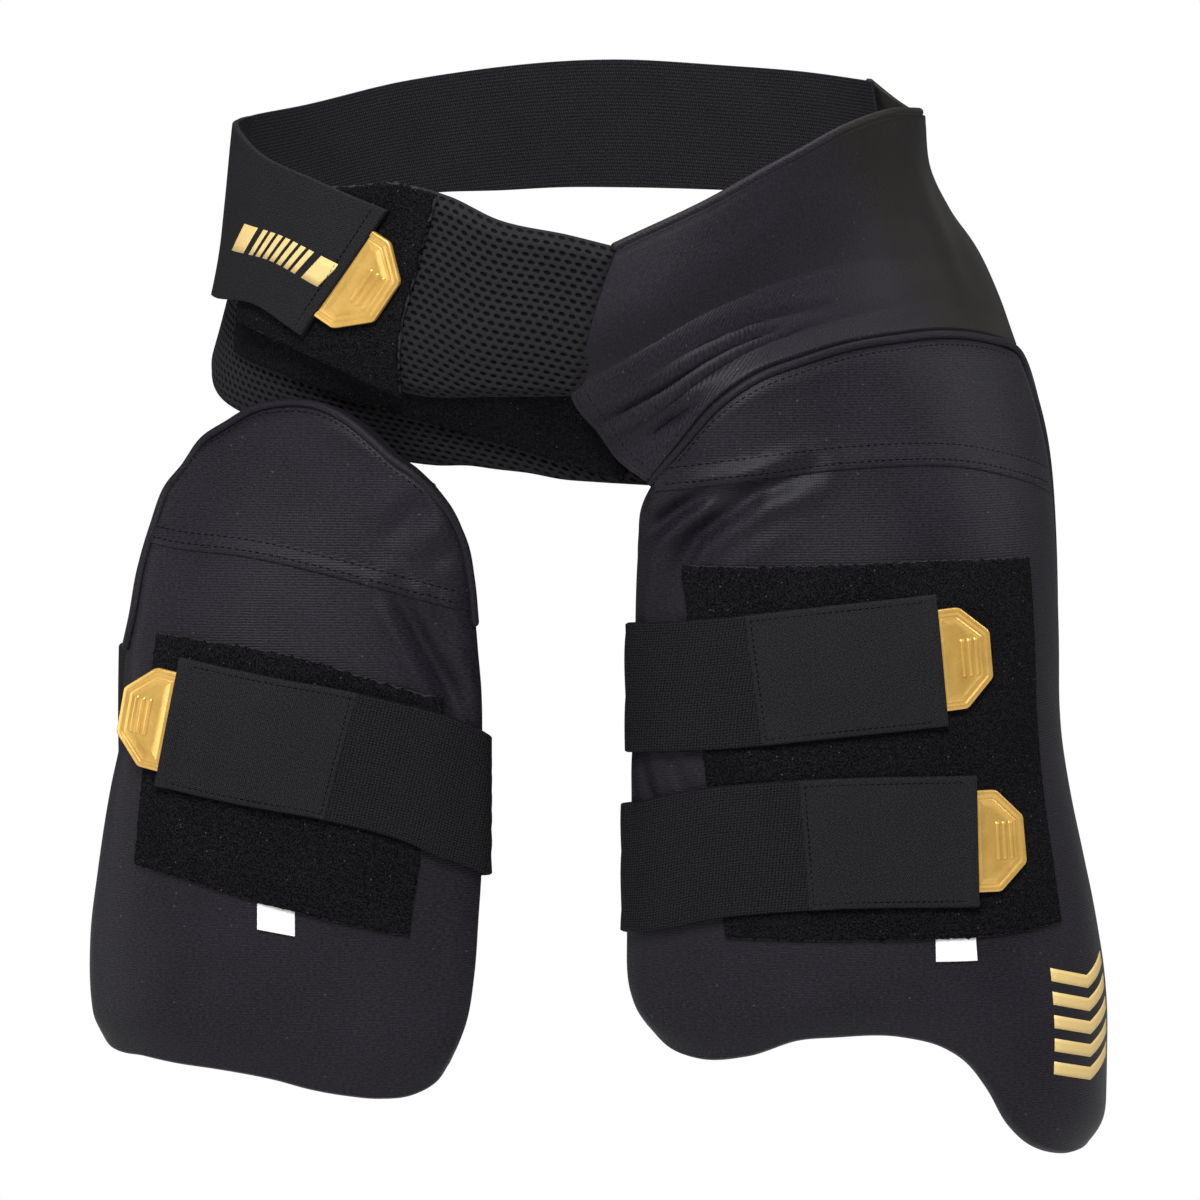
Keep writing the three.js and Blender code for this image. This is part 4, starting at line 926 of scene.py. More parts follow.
label_piece("outer_blank_label", outer_pad, OUTER_PATCH[1], 0.68, 2 * GAP, 0, "outer_label")
label_piece("inner_blank_label", inner_pad, INNER_PATCH[1], 0.54, 2, 3, "inner_label")

# Thigh straps: angle, drop, over (1 on the pad's face, 0 on the bare leg), lift
ON_PATCH = LAYER_GAP + PATCH_THICK + LAYER_GAP


def strap_rows(turn, rows):
    return [(*turn([(a, d)])[0], over, lift) for a, d, over, lift in rows]


UPPER_STRAP = strap_rows(outer, [
    (-290, 0.40, 0, 1.4), (-276, 0.41, 0, 0.2), (-255, 0.425, 0, 0.6), (-215, 0.44, 0, 0.6),
    (-180, 0.45, 0, 0.6), (-140, 0.45, 0, 0.6), (-108, 0.445, 0, 0.6), (-90, 0.441, 0.07, 0.6),
    (-75, 0.436, 0.25, 0.6), (-66, 0.433, 0.44, 1),
    (-61.2, 0.430, 0.64, 1.2), (-59.6, 0.430, 0.8, 0.8), (-58.2, 0.429, 0.97, -0.4),
    (-56.8, 0.428, 1, 0.4), (-53, 0.426, 1, 1.8), (-35.5, 0.417, 1, ON_PATCH),
    (-10.4, 0.402, 1, ON_PATCH), (21.7, 0.387, 1, ON_PATCH)])
LOWER_STRAP = strap_rows(outer, [
    (-292, 0.60, 0, 5), (-276, 0.61, 0, 2.6), (-255, 0.625, 0, 0.8), (-215, 0.65, 0, 0.6),
    (-180, 0.67, 0, 0.6), (-140, 0.678, 0, 0.6), (-108, 0.674, 0, 0.6), (-90, 0.668, 0.07, 0.6),
    (-75, 0.66, 0.25, 0.6), (-67, 0.656, 0.44, 1),
    (-62.4, 0.653, 0.64, 1.2), (-60.8, 0.652, 0.8, 0.8), (-59.4, 0.651, 0.97, -0.4),
    (-58, 0.650, 1, 0.4), (-54, 0.647, 1, 1.8), (-35, 0.621, 1, ON_PATCH),
    (-12.9, 0.608, 1, ON_PATCH), (7.3, 0.604, 1, ON_PATCH), (30.3, 0.605, 1, ON_PATCH)])
INNER_STRAP = strap_rows(inner, [
    (-24.9, 0.458, 1, ON_PATCH), (-2, 0.484, 1, ON_PATCH), (18.4, 0.506, 1, ON_PATCH),
    (39.8, 0.548, 1, ON_PATCH), (45.5, 0.569, 1, 2.0),
    (49, 0.580, 1, 0.8), (50.8, 0.585, 0.97, 0.2), (52.4, 0.590, 0.85, 1.0), (54.6, 0.596, 0.68, 1.2),
    (60, 0.606, 0.42, 1), (72, 0.618, 0.18, 0.8), (90, 0.624, 0.03, 0.8), (130, 0.62, 0, 0.6),
    (180, 0.58, 0, 0.6), (225, 0.53, 0, 0.6), (262, 0.49, 0, 0.6), (292, 0.46, 0, 1.6), (322, 0.445, 0, 3)])


def band_points(body, path, width, t, v):
    """Points of a flat band along a path on a body, from its upper edge at v 0 to its lower at 1."""
    angle, height = band_flat(path, width, t, v, body)
    angles, _, overs, lifts = path(np.linspace(0, 1, 2000)).T
    return on_body(body, angle, height, np.interp(angle, angles, lifts), np.interp(angle, angles, overs))


def share_at(path, angle):
    """The share of a path at which it reaches an angle."""
    t = np.linspace(0, 1, 4001)
    return float(np.interp(angle, path(t)[:, 0], t))


def line_on(surface, u, v, lift):
    """A row for stitches: points and normals on a surface along shares u and v, lifted."""
    normal = tangent_normal(surface, u, v)
    return surface(u, v) + normal * lift, normal


# A strap end's tip is folded over, and stitched beyond the fold
FOLD_WIDE, FOLD_STITCH = 5.2, 5.4
# The share of its length by which a strap's loop runs on under its end
STRAP_LAP = 0.006
strap_seams = []


def folded(tip, rise):
    """Lift of a facing near its tip: raised where it is doubled, with a groove at its stitches."""
    groove = 0.35 * np.exp(-((tip - FOLD_STITCH) / 0.5) ** 2)
    return rise * ease((FOLD_WIDE - tip) / 0.8) - groove - 0.5


def webbing(name, points, kind, node, waves, seed, tip=1, rise=0.0):
    """Webbing with rounded edges, uneven by waves of a length and a height. A facing is raised where
    its tip is folded: tip numbers that edge, 0 for the left and 1 for the right."""
    thick, slot, held = ((STRAP_END_THICK, "facing", "laid") if kind is facing
                         else (ELASTIC_THICK, "elastic", "stretched"))
    edges = margins(points)
    lift = thick - rounding(np.minimum.reduce(edges), WEB_EDGE)
    if kind is facing:
        lift = lift + folded(edges[tip], rise)
    lift = lift + waves[1] * ripple(edges[0], edges[2], waves[0], seed)
    cloth_sheet(shell(name, points, 0.0, lift, [kind], bulge=0.3), node, points)


def thigh_strap(name, body, rows, join_angle, side):
    """A strap in two pieces: a ribbed elastic loop, and a stitched facing end with a folded hem."""
    path = through(rows)
    join = share_at(path, join_angle)
    spans = ((0, join + STRAP_LAP), (join, 1)) if side > 0 else ((join - STRAP_LAP, 1), (0, join))
    for (start, end), piece, kind, waves in (
            (spans[0], name, strap_elastic, (40, 0.1)), (spans[1], f"{name}_end", facing, (30, 0.12))):
        def surface(u, v, start=start, end=end):
            return band_points(body, path, STRAP_WIDE, mix(start, end, u), v)
        t = np.linspace(0, 1, 200)
        length = run_along(surface(t, np.full(200, 0.5)))[-1]
        points = surface(*grid(shares(length, 2.4), shares(STRAP_WIDE, 2.4)))
        webbing(f"{piece}_webbing", points, kind, piece, waves, len(piece), int(side > 0), 1.1)
    # Stitches on the facing, which is the last surface: across its tip and its join, along its edges
    tip, joined = 1 - FOLD_STITCH / length, 2.2 / length
    if side < 0:
        tip, joined = 1 - tip, 1 - joined
    for share, sunk in ((tip, 0.45), (joined, 0.5)):
        across = np.linspace(0.03, 0.97, 60)
        strap_seams.append(line_on(surface, np.full(60, share), across, STRAP_END_THICK - sunk))
    for share in (0.045, 0.955):
        along = np.linspace(0.02, 0.98, 120)
        strap_seams.append(line_on(surface, along, np.full(120, share), STRAP_END_THICK - 0.5))
    return path


upper_path = thigh_strap("outer_strap_upper", OUTER_LEG, UPPER_STRAP, -25, 1)
lower_path = thigh_strap("outer_strap_lower", OUTER_LEG, LOWER_STRAP, -12.6, 1)
inner_path = thigh_strap("inner_strap", INNER_LEG, INNER_STRAP, 18.4, -1)


# Gold pull tabs
def tab_outline(inset, count=6):
    """Half an octagon, drawn in by an inset, with each corner turned in a few short steps."""
    half, out, chamfer = TAB_WIDE / 2, TAB_DEEP, TAB_WIDE * TAB_CHAMFER
    shoulder = out * TAB_SHOULDER
    corners = np.array([(-TAB_ROOT, -half), (shoulder, -half), (out, -half + chamfer),
                        (out, half - chamfer), (shoulder, half), (-TAB_ROOT, half)], float)
    before, after = corners - np.roll(corners, 1, axis=0), np.roll(corners, -1, axis=0) - corners
    n1 = unit(np.stack([-before[:, 1], before[:, 0]], -1))
    n2 = unit(np.stack([-after[:, 1], after[:, 0]], -1))
    moved = corners + inset * (n1 + n2) / (1 + (n1 * n2).sum(-1, keepdims=True))
    back, ahead = np.roll(moved, 1, axis=0) - moved, np.roll(moved, -1, axis=0) - moved
    soft = max(0.4, 1.4 - inset * 0.3)
    start, end = moved + unit(back) * soft, moved + unit(ahead) * soft
    t = np.linspace(0, 1, count)[:, None, None]
    turned = (1 - t) ** 2 * start + 2 * t * (1 - t) * moved + t ** 2 * end
    return turned.transpose(1, 0, 2).reshape(-1, 2)


# The tab's root lies in the strap end's folded hem
TAB_SUNK = 0.8
# Across the tab from its underside to its middle: distance in from the outline, and height
TAB_PROFILE = ((4.0, 0.0), (0.5, 0.0), (0.12, 0.15), (0.0, 0.5), (0.0, 1.8), (0.12, 2.15), (0.5, 2.3),
               (TAB_RIM - 1.2, 2.3), (TAB_RIM - 0.9, 2.2), (TAB_RIM - 0.5, 1.85), (TAB_RIM, 1.7),
               (TAB_RIM + 0.9, 1.7), (TAB_RIM + 1.1, 1.9), (TAB_RIM + 1.6, 1.9), (TAB_RIM + 1.8, 1.7),
               (7.5, 1.7))


def tab_piece(name, body, path, side, lift, node):
    """A moulded pull tab: a profile of a rounded rim, a sunk field and a fine inner line carried
    round half an octagon, with three grip ribs, bent onto the strap's surface."""
    rings = np.array([np.column_stack([tab_outline(inset), np.full(36, z)]) for inset, z in TAB_PROFILE])
    n, m = rings.shape[:2]
    number = numbers(n, m, closed=True)
    fans = [number[k][[[0, 2 * j + 1, 2 * j + 2, 2 * j + 3] for j in range((m - 2) // 2)]] for k in (0, -1)]
    parts, count = [rings.reshape(-1, 3)], n * m
    faces = [turned(cells(number)), fans[0], fans[1][:, ::-1]]
    across, high = np.array([(-1, 0), (-0.75, 0.75), (0, 1), (0.75, 0.75), (1, 0)]).T
    along, full = np.array([(-1, 0), (-0.96, 0.7), (-0.85, 1), (0.85, 1), (0.96, 0.7), (1, 0)]).T
    for middle in TAB_RIBS:
        out = TAB_DEEP * middle + across * TAB_DEEP * 0.045
        out, beside = np.meshgrid(out, along * TAB_WIDE * 0.19, indexing="ij")
        rib = np.stack([out, beside, 1.45 + 0.8 * high[:, None] * full[None]], -1)
        base = rib * np.array([1, 1, 0]) + np.array([0, 0, 1.3])
        parts.append(np.concatenate([rib.reshape(-1, 3), base.reshape(-1, 3)]))
        faces.append(slab(numbers(5, 6).T) + count)
        count += 2 * 5 * 6
    local = np.concatenate(parts)
    end, inside = path(1.0 if side > 0 else 0.0), path(0.98 if side > 0 else 0.02)
    degree = np.linalg.norm(on_body(body, end[0] + 0.5, end[1]) - on_body(body, end[0] - 0.5, end[1]))
    run, rise = (end[0] - inside[0]) * degree, end[1] - inside[1]
    length = math.hypot(run, rise)
    angle = end[0] + (local[:, 0] * run - local[:, 1] * rise) / length / degree
    height = end[1] + (local[:, 0] * rise + local[:, 1] * run) / length
    points = on_body(body, angle, height, lift - TAB_SUNK + local[:, 2])
    quads = np.concatenate(faces)
    made = put(name, points, quads, np.zeros((len(quads), 4, 2)), [gold])
    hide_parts(node)


for name, body, path, side, node in (
        ("outer_gold_tab_upper", OUTER_LEG, upper_path, 1, "outer_tab_upper"),
        ("outer_gold_tab_lower", OUTER_LEG, lower_path, 1, "outer_tab_lower"),
        ("inner_gold_tab", INNER_LEG, inner_path, -1, "inner_tab")):
    tab_piece(name, body, path, side, ON_PATCH + TAB_STAND, node)

# Waist layers, outwards
STRIP_LIFT = MESH_THICK + 2 * LAYER_GAP
TONGUE_LIFT = STRIP_LIFT + PATCH_THICK + 2 * LAYER_GAP
TONGUE_PATCH_LIFT = TONGUE_LIFT + MESH_THICK + 2 * LAYER_GAP
WAIST_END_LIFT = TONGUE_PATCH_LIFT + PATCH_THICK + 2 * LAYER_GAP
HEM_LIFT = TONGUE_LIFT + 5 * LAYER_GAP


def waist(rows):
    """Angle, height and lift from rows of angle, share of the belt's rise, and lift."""
    return [(row[0], row[1] * WAIST_RISE, row[2] if len(row) > 2 else 0.0) for row in rows]


def waist_surface(flat, lift=0.0):
    """A surface on the waist: flat shares turned into angle, height and lift, then moved out
    along its own normal."""
    def base(u, v):
        p = flat(u, v)
        return on_body(WAIST, p[..., 0], p[..., 1], p[..., 2])

    def surface(u, v):
        u, v = np.broadcast_arrays(np.asarray(u, float), np.asarray(v, float))
        return base(u, v) + tangent_normal(base, u, v) * lift
    return surface


def between(top, bottom):
    """Flat shares between two rows of a table, with straight ends."""
    upper, lower = through(top), through(bottom)
    return filled(upper, lower, straight(upper(0), lower(0)), straight(upper(1), lower(1)))


def sampled(surface, cell, edge=0.5):
    """A grid of points over a surface, about one cell apart."""
    t = np.linspace(0, 1, 120)
    wide, tall = run_along(surface(t, np.full(120, 0.5)))[-1], run_along(surface(np.full(120, 0.5), t))[-1]
    return surface(*grid(shares(wide, cell, edge), shares(tall, cell, edge)))


def hole_depth(points):
    """Dimples of the spacer mesh: ovals in rows, each second row moved by half a pitch."""
    left, _, top, _ = margins(points)
    across, down = left / HOLE_PITCH, -top / HOLE_ROW
    odd = np.mod(np.floor(down), 2) * 0.5
    dx = (np.mod(across + odd, 1) - 0.5) * HOLE_PITCH / HOLE_HALF_WIDE
    dy = (np.mod(down, 1) - 0.5) * HOLE_ROW / HOLE_HALF_TALL
    return np.exp(-(dx * dx + dy * dy) ** 1.5)


def spacer_piece(name, surface, node, pressed, cell, hem):
    """Spacer mesh: dimpled by its holes, and pressed down to hem along its sewn or heat-cut edges,
    which pressed names in the order left, right, top, bottom."""
    points = sampled(surface, cell, 0.4)
    edges = margins(points)
    edge = np.minimum.reduce([distance for distance, used in zip(edges, pressed) if used])
    lift = MESH_THICK - (MESH_THICK - hem) * (1 - ease(edge / 6.5))
    lift = lift - 1.1 * hole_depth(points) * ease(edge / 5 - 0.2)
    lift = lift - rounding(np.minimum.reduce(edges), MESH_EDGE)
    lift = lift + 0.15 * ripple(edges[0], edges[2], 35, len(name))
    made = shell(name, points, 0.0, lift, [spacer], bulge=0.4)
    cloth_sheet(made, node, points)


BAND_FLARE = 5
BAND_TOP = waist([(-108, -0.2), (-90, -0.25), (-60, -0.5), (-30, -0.8), (0, -1.08), (24, -1.36)])
BAND_BOTTOM = waist([
    (-104, -0.92, BAND_FLARE), (-90, -1.12, BAND_FLARE), (-76.5, -1.37, BAND_FLARE / 2), (-62, -1.56),
    (-50, -1.7), (-34.8, -1.79), (-27, -1.79), (-20.4, -1.815), (-11.4, -1.843), (-2.1, -1.888),
    (7.5, -1.908), (18, -1.925), (24, -1.935)])
spacer_piece("lower_band_spacer", waist_surface(between(BAND_TOP, BAND_BOTTOM)), "lower_band_mesh",
             (True, True, True, True), 0.75, 2.6)


def belt_pile(name, surface, node, seed):
    """Loop tape on the belt, which fills most of the gap above the mesh below it."""
    pile_cover(name, sampled(surface, 1.2, 0.7), -0.9, PATCH_THICK, 0.12, 0.14, seed, node)


STRIP_LOWER = waist([
    (-71, -1.02), (-62.1, -1.105), (-36.5, -1.405), (-15.5, -1.608), (7.4, -1.817), (15.5, -1.88)])
STRIP_UPPER = [(a, z + LOOP_STRIP_WIDE, lift) for a, z, lift in STRIP_LOWER]
belt_pile("lower_band_pile", waist_surface(between(STRIP_UPPER, STRIP_LOWER), STRIP_LIFT),
          "lower_band_loop_strip", seed=5)

SEAM = waist([(9, -0.3), (6.1, -0.577), (3.3, -0.915), (1.4, -1.22)])
TONGUE_TOP = through(waist([
    (-68, -0.05), (-55, 0.06), (-41.3, 0.108), (-31.9, 0.13), (-24.8, 0.062), (-15.1, -0.102),
    (-1.6, -0.203), (8.4, -0.29)]))
TONGUE_BOTTOM = through(waist([
    (-68, -0.78), (-62, -0.83), (-47.5, -1.005), (-34.5, -1.228), (-17.9, -1.245), (0.8, -1.24)]))
SEAM_LAP = np.array([1.6, 0, 0])


def tongue_right(t):
    return through(SEAM)(t) + SEAM_LAP


def tongue_fit(curve, end):
    """An edge of the tongue, stretched along its run to meet the seam."""
    return lambda t: curve(t) + (tongue_right(end) - curve(1)) * np.asarray(t, float)[..., None]


tongue = waist_surface(filled(tongue_fit(TONGUE_TOP, 0), tongue_fit(TONGUE_BOTTOM, 1),
                              straight(TONGUE_TOP(0), TONGUE_BOTTOM(0)), tongue_right), TONGUE_LIFT)
spacer_piece("belt_tongue_spacer", tongue, "belt_tongue_mesh", (False, True, True, True), 0.62, 1.3)

TONGUE_PATCH_TOP = waist([(-63, 0.02), (-52, 0.08), (-41.3, 0.115), (-31.9, 0.135), (-24.8, 0.062)])
TONGUE_PATCH_BOTTOM = waist([(-64.9, -0.81), (-56, -0.9), (-47.5, -1.005), (-34.4, -1.207)])
tongue_patch = waist_surface(between(TONGUE_PATCH_TOP, TONGUE_PATCH_BOTTOM), TONGUE_PATCH_LIFT)
belt_pile("tongue_pile_patch", tongue_patch, "tongue_loop_patch", seed=9)

WAIST_JOIN = 262.6
END_LIFT, BACK_LIFT = TONGUE_LIFT - GAP, 2 * LAYER_GAP + 1
SIDE_LIFT, LOW_LIFT = WAIST_END_LIFT * 0.78, WAIST_END_LIFT * 0.55
ELASTIC_TOP = waist([
    (109, 0.98, END_LIFT * 0.7), (112.6, 1.0, END_LIFT * 0.8), (127, 1.087, END_LIFT * 0.7),
    (145, 1.152, BACK_LIFT), (168, 1.2, BACK_LIFT), (180, 1.192, BACK_LIFT), (197.6, 1.145, BACK_LIFT),
    (220.8, 1.023, SIDE_LIFT * 0.3), (246, 0.8, SIDE_LIFT * 0.7), (WAIST_JOIN + 0.6, 0.7, SIDE_LIFT)])
ELASTIC_BOTTOM = waist([
    (109, 0.03, END_LIFT * 0.7), (112.6, 0.06, END_LIFT * 0.8), (127, 0.158, END_LIFT * 0.7),
    (144.3, 0.197, BACK_LIFT), (168.9, 0.225, BACK_LIFT), (182.9, 0.225, BACK_LIFT), (197, 0.2, BACK_LIFT),
    (211.5, 0.18, SIDE_LIFT * 0.25), (230, 0.08, SIDE_LIFT * 0.4), (246, -0.07, SIDE_LIFT * 0.6),
    (WAIST_JOIN + 0.6, -0.27, LOW_LIFT)])


waist_back = waist_surface(between(ELASTIC_TOP, ELASTIC_BOTTOM))
webbing("waist_elastic_webbing", sampled(waist_back, 2.2), elastic, "waist_elastic", (45, 0.12), seed=21)
WAIST_END_TOP = waist([
    (WAIST_JOIN - 360, 0.7, SIDE_LIFT), (-86, 0.66, SIDE_LIFT), (-74, 0.59, WAIST_END_LIFT),
    (-57.7, 0.327, WAIST_END_LIFT), (-46.3, 0.178, WAIST_END_LIFT), (-40.3, 0.085, WAIST_END_LIFT),
    (-31.8, -0.04, WAIST_END_LIFT)])
WAIST_END_BOTTOM = waist([
    (WAIST_JOIN - 360, -0.27, LOW_LIFT), (-90, -0.43, LOW_LIFT), (-81.6, -0.578, LOW_LIFT),
    (-70, -0.633, WAIST_END_LIFT), (-58.5, -0.668, WAIST_END_LIFT), (-47.2, -0.887, WAIST_END_LIFT)])
waist_end = waist_surface(between(WAIST_END_TOP, WAIST_END_BOTTOM))
webbing("waist_strap_facing", sampled(waist_end, 2.2), facing, "waist_strap_end", (45, 0.12), seed=18,
        rise=0.5)
WAIST_END_LONG = 150.0
strap_seams.append(line_on(waist_end, np.full(60, 1 - FOLD_STITCH / WAIST_END_LONG),
                           np.linspace(0.03, 0.97, 60), STRAP_END_THICK - 0.45))
stitches("strap_stitches", strap_seams, 1.7, 2.5, 0.24, thread)

end_top, end_bottom = np.array(WAIST_END_TOP[-1]), np.array(WAIST_END_BOTTOM[-1])
end_middle = (end_top + end_bottom) / 2
end_degree = float(np.radians(1) * reach(WAIST, end_middle[0], end_middle[1]))
end_slope, end_fall = (end_top[0] - end_bottom[0]) * end_degree, end_top[1] - end_bottom[1]


def end_path(t):
    """The line along which the waist tab leaves its strap's end, square to that end."""
    return np.array([end_middle[0] - (1 - t) * end_fall / end_degree, end_middle[1] + (1 - t) * end_slope])


tab_piece("waist_gold_tab", WAIST, end_path, 1, WAIST_END_LIFT + TAB_STAND, "waist_pull_tab")

# Hip panel: a stretched cloth between the belt's top, the tongue's seam and the pad's piped edge
PANEL_TOP = waist([
    (9, -0.3), (24.8, -0.03), (36, 0.205), (43.7, 0.36), (52.1, 0.52), (63.9, 0.647), (74, 0.672),
    (82, 0.68), (93, 0.71), (104, 0.82), (112, 1.0)])
PANEL_REAR = waist([
    (112, 1, 0), (112, 0.5, HIP_STAND * 0.3), (110, 0.05, HIP_STAND * 0.85), (104, -0.3, HIP_STAND),
    (97, -0.65, HIP_STAND)])
PANEL_HEM = waist([(1.6, -1.32), (7.5, -1.54), (12.5, -1.72)])


def points_on(rows, lift):
    return [on_body(WAIST, a, z, lift + more) for a, z, more in rows]


panel_foot, _ = beside_edge(OUTER_LEG, OUTER_TOP, OUTER_SEAT - 1.2, -PAD_ROLL - 0.6, 16)
panel_front = [*points_on(SEAM, TONGUE_LIFT), *points_on(PANEL_HEM, HEM_LIFT), panel_foot[0]]
panel_rear = [*points_on(PANEL_REAR, TONGUE_LIFT), panel_foot[-1]]
panel_flat = filled(*(smooth_line(line) for line in (
    points_on(PANEL_TOP, TONGUE_LIFT), panel_foot, panel_front, panel_rear)))

# Creases in the panel: a line of shares across and down, the width and the depth
PANEL_FOLDS = [
    ([(0.02, 0.70), (0.16, 0.74), (0.34, 0.78)], 0.026, 3.0),
    ([(0.06, 0.88), (0.12, 0.90), (0.19, 0.96)], 0.028, 2.2),
    ([(0.16, 0.84), (0.30, 0.86)], 0.03, 1.0),
    ([(0.14, 0.62), (0.30, 0.68), (0.46, 0.76)], 0.035, 0.9),
    ([(0.58, 0.06), (0.66, 0.35), (0.74, 0.65), (0.80, 0.95)], 0.05, -1.6),
]


def panel_surface(u, v):
    """The panel swells between its four edges like the product of two half sine waves, and its
    creases run in from the front corner."""
    u, v = np.broadcast_arrays(np.asarray(u, float), np.asarray(v, float))
    lift = (PANEL_SWELL * np.sin(np.pi * u) + HIP_SWELL * u ** 2) * np.sin(np.pi * v)
    for line, width, deep in PANEL_FOLDS:
        lift = lift + valley(u, v, line, width, deep) * ease(np.minimum(v, 1 - v) * 12)
    return panel_flat(u, v) + tangent_normal(panel_flat, u, v) * lift[..., None]


points = sampled(panel_surface, 1.5)
left, _, top, _ = edges = margins(points)
panel_lift = PANEL_THICK - rounding(np.minimum.reduce(edges), 1.0)
for distance, seam, deep in ((top, 2.6, 0.5), (left, 2.8, 0.4)):
    panel_lift = panel_lift - deep * np.exp(-((distance - seam) / 0.8) ** 2)
made = shell("hip_panel_cover", points, 0.0, panel_lift, [panel_knit, lining], bulge=0.6, region=(0, 0, 1))
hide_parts("hip_panel")

HEM_END = 0.66
t, edge_at = np.linspace(0, HEM_END, 200), np.zeros(200)
along = panel_surface(t + 0.01, edge_at) - panel_surface(np.maximum(0, t - 0.01), edge_at)
outward = tangent_normal(panel_surface, t, edge_at)
upward = unit(np.cross(outward, along))
upward = upward * np.sign(upward[:, 2:])
hem_line = panel_surface(t, edge_at) + outward * PANEL_THICK / 2 + upward
made = tube("hip_rolled_hem", hem_line, outward, PIPING_RADIUS, [panel_knit], sides=14)
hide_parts("hip_hem")

# The bound front edge of the panel, below the tongue's seam
t, edge_at = np.linspace(0.5, 0.985, 120), np.zeros(120)
outward = tangent_normal(panel_surface, edge_at, t)
bound_line = panel_surface(edge_at, t) + outward * PANEL_THICK * 0.55
made = tube("panel_bound_edge", bound_line, outward, 1.6, [panel_knit], sides=12)

panel_seams = [
    line_on(panel_surface, np.linspace(0.02, HEM_END, 150), np.full(150, 0.052), PANEL_THICK - 0.15),
    line_on(panel_surface, np.full(90, 0.022), np.linspace(0.03, 0.52, 90), PANEL_THICK - 0.15),
    line_on(panel_surface, np.full(60, 0.022), np.linspace(0.56, 0.95, 60), PANEL_THICK - 0.1),
]
stitches("panel_stitches", panel_seams, 1.9, 2.9, 0.27, thread)


# Gold marks: plain slanted bars on the waist strap and a column of chevrons on the wing
MARK_LIFT, MARK_ROOT = 0.12, 0.2


def mark_piece(name, place, shapes):
    """Thin gold print: each shape is a grid of shares turned into a place on the cloth."""
    u, v = grid(np.linspace(0, 1, 13), np.linspace(0, 1, 4))
    parts, faces = [], []
    for k, shape in enumerate(shapes):
        base, normal = place(*shape(u, v))
        parts += [(base + normal * MARK_LIFT).reshape(-1, 3), (base - normal * MARK_ROOT).reshape(-1, 3)]
        faces.append(slab(numbers(*u.shape)) + 2 * u.size * k)
    points, quads = np.concatenate(parts), np.concatenate(faces)
    uv = points[quads][..., [0, 2]] * 0.001
    made = put(name, points, quads, uv, [gold_print])


# The bars' field on the strap's end, as shares: its left, its top, how wide and how tall
FIELD_LEFT, FIELD_TOP, FIELD_WIDE, FIELD_TALL = 0.58, 0.46, 0.40, 0.2


def on_waist_end(x, y):
    """Places across and down the bars' field."""
    u, v = FIELD_LEFT + x * FIELD_WIDE, FIELD_TOP + y * FIELD_TALL
    normal = tangent_normal(waist_end, u, v)
    return waist_end(u, v) + normal * (STRAP_END_THICK - 0.5), normal


def bar(start, width):
    """A bar that leans: its top is shifted by 0.05 of the field."""
    return lambda u, v: (start + width * u + 0.05 * (1 - v), v)


mark_piece("waist_gold_bars", on_waist_end,
           [bar(0.00, 0.16), *(bar(0.22 + 0.075 * k, 0.045) for k in range(7)), bar(0.78, 0.16)])

# The chevrons' field on the wing: the angle of its middle, its spread, its top and how tall
WING_ANGLE, WING_SPREAD, WING_TOP, WING_TALL = 61, 28, -317, 58


def on_wing(x, y):
    """Places across and down the chevrons' field."""
    return outer_pad.at(WING_ANGLE + WING_SPREAD * (x - 0.5), WING_TOP - WING_TALL * y)


def chevron(at, thick, half):
    """A band bent to a point at its middle, 0.11 of the field deep."""
    return lambda u, v: (0.5 + half * (2 * u - 1), at + thick * v + 0.11 * (1 - np.abs(2 * u - 1)))


mark_piece("wing_gold_chevrons", on_wing, [chevron(0.02 + 0.17 * k, 0.095, 0.44) for k in range(5)])

# Camera, light and floor
CAMERA_FAR, CAMERA_TILT, AIM_X, AIM_Z = 1.6, math.radians(5), 0.013, -0.172
camera = bpy.data.objects.new("camera", bpy.data.cameras.new("camera"))
camera.data.lens, camera.data.sensor_width = 108, 36
camera.data.clip_start, camera.data.clip_end = 0.05, 60
camera.location = (AIM_X, -CAMERA_FAR * math.cos(CAMERA_TILT), AIM_Z + CAMERA_FAR * math.sin(CAMERA_TILT))
camera.rotation_euler = (math.pi / 2 - CAMERA_TILT, 0, 0)
bpy.context.scene.collection.objects.link(camera)
bpy.context.scene.camera = camera


LIT = (0.0, 0.0, -0.17)


def area_light(name, place, size, power):
    """A square soft light that faces the guard's middle."""
    light = bpy.data.lights.new(name, "AREA")
    light.size, light.energy = size, power
    made = bpy.data.objects.new(name, light)
    bpy.context.scene.collection.objects.link(made)
    made.location = place
    away = np.array(place) - np.array(LIT)
    flat = math.hypot(away[0], away[1])
    made.rotation_euler = (math.atan2(flat, away[2]), 0, math.atan2(away[0], -away[1]))


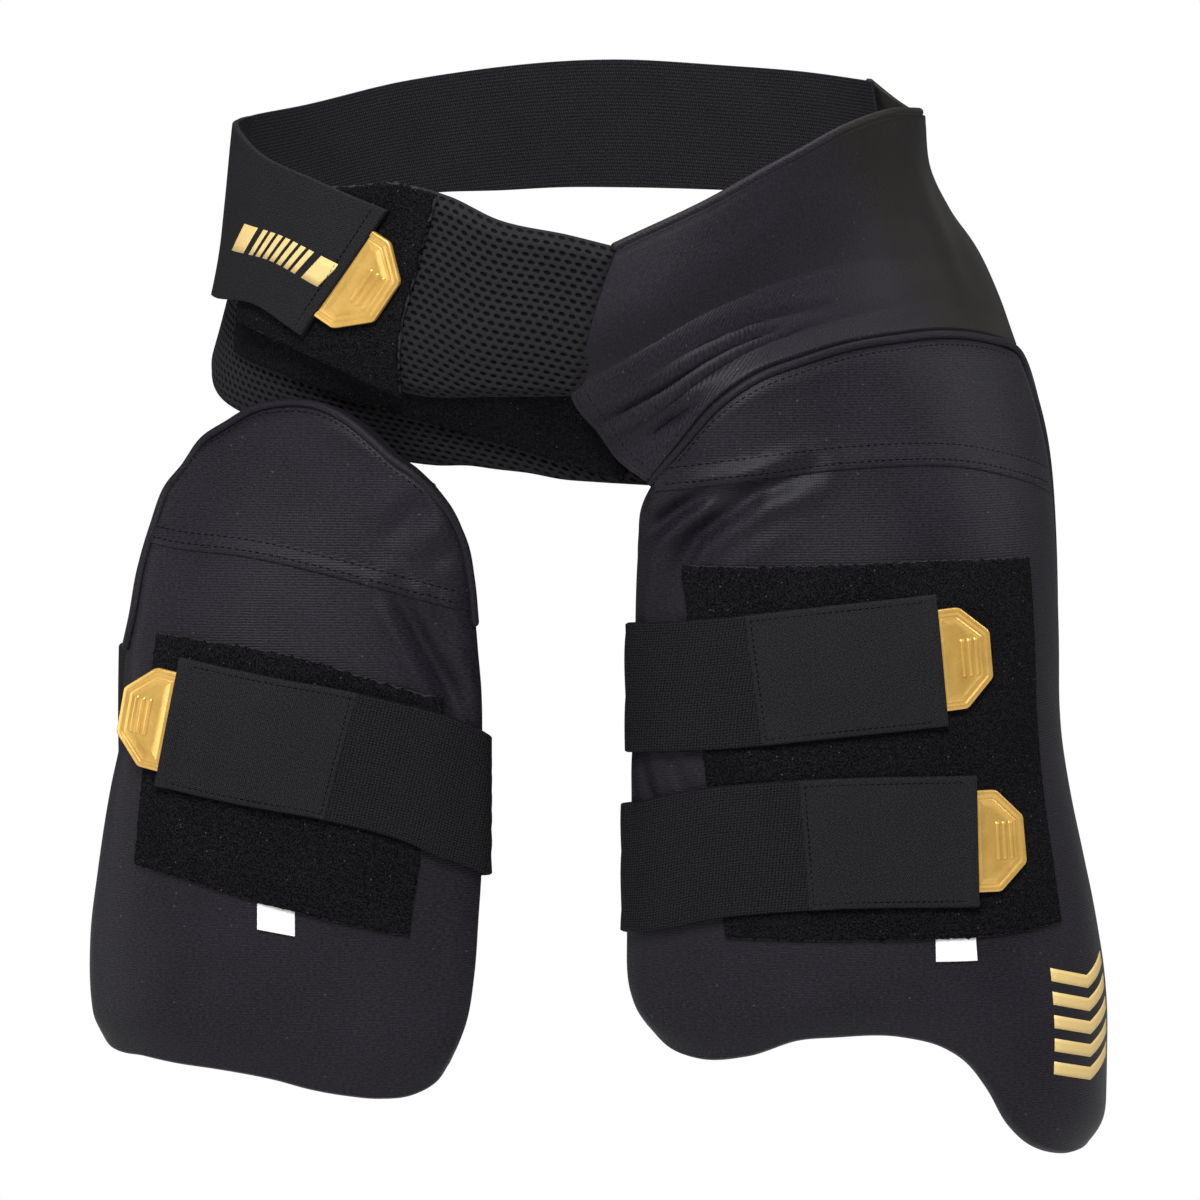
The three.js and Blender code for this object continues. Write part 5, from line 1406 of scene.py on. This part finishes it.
area_light("key", (-0.15, -1.7, 1.3), size=0.9, power=62)
area_light("top", (0.15, 0.2, 1.7), size=1.4, power=26)
area_light("right_side", (1.7, -0.1, 0.6), size=0.6, power=9)
area_light("left_side", (-1.7, -0.3, 0.0), size=1.0, power=10)

# The ground is white to the eye and dim as a light, so that black cloth stays black
SOFT_LIGHT = 0.10
world = bpy.data.worlds.new("studio")
world.use_nodes = True
backdrop = world.node_tree.nodes["Background"]
backdrop.inputs[0].default_value = (1, 1, 1, 1)
seen = world.node_tree.nodes.new("ShaderNodeLightPath")
dimmed = world.node_tree.nodes.new("ShaderNodeMapRange")
dimmed.inputs["To Min"].default_value, dimmed.inputs["To Max"].default_value = SOFT_LIGHT, 1.0
world.node_tree.links.new(seen.outputs["Is Camera Ray"], dimmed.inputs["Value"])
world.node_tree.links.new(dimmed.outputs[0], backdrop.inputs[1])
bpy.context.scene.world = world
bpy.context.scene.view_settings.view_transform = "Standard"

FLOOR_HALF, FLOOR_Z = 15, -0.62
floor_finish = Finish("floor")
floor_material = floor_finish.close((0.7, 0.7, 0.7, 1), 0.9, None)
floor_tree = floor_finish.tree
glow = floor_finish.node("ShaderNodeEmission", {}, {"Color": (1, 1, 1, 1), "Strength": 1.0})
shown = floor_finish.node("ShaderNodeLightPath", {}, {})
mixed = floor_tree.nodes.new("ShaderNodeMixShader")
surface_end = next(n for n in floor_tree.nodes if n.bl_idname == "ShaderNodeOutputMaterial").inputs[0]
floor_tree.links.new(shown.socket, mixed.inputs[0])
floor_tree.links.new(surface_end.links[0].from_socket, mixed.inputs[1])
floor_tree.links.new(glow.socket, mixed.inputs[2])
floor_tree.links.new(mixed.outputs[0], surface_end)
floor_mesh = bpy.data.meshes.new("floor")
floor_mesh.from_pydata([(x * FLOOR_HALF, y * FLOOR_HALF, FLOOR_Z) for x, y in
                        ((-1, -1), (1, -1), (1, 1), (-1, 1))], [], [(0, 1, 2, 3)])
floor_mesh.materials.append(floor_material)
floor = bpy.data.objects.new("floor", floor_mesh)
bpy.context.scene.collection.objects.link(floor)
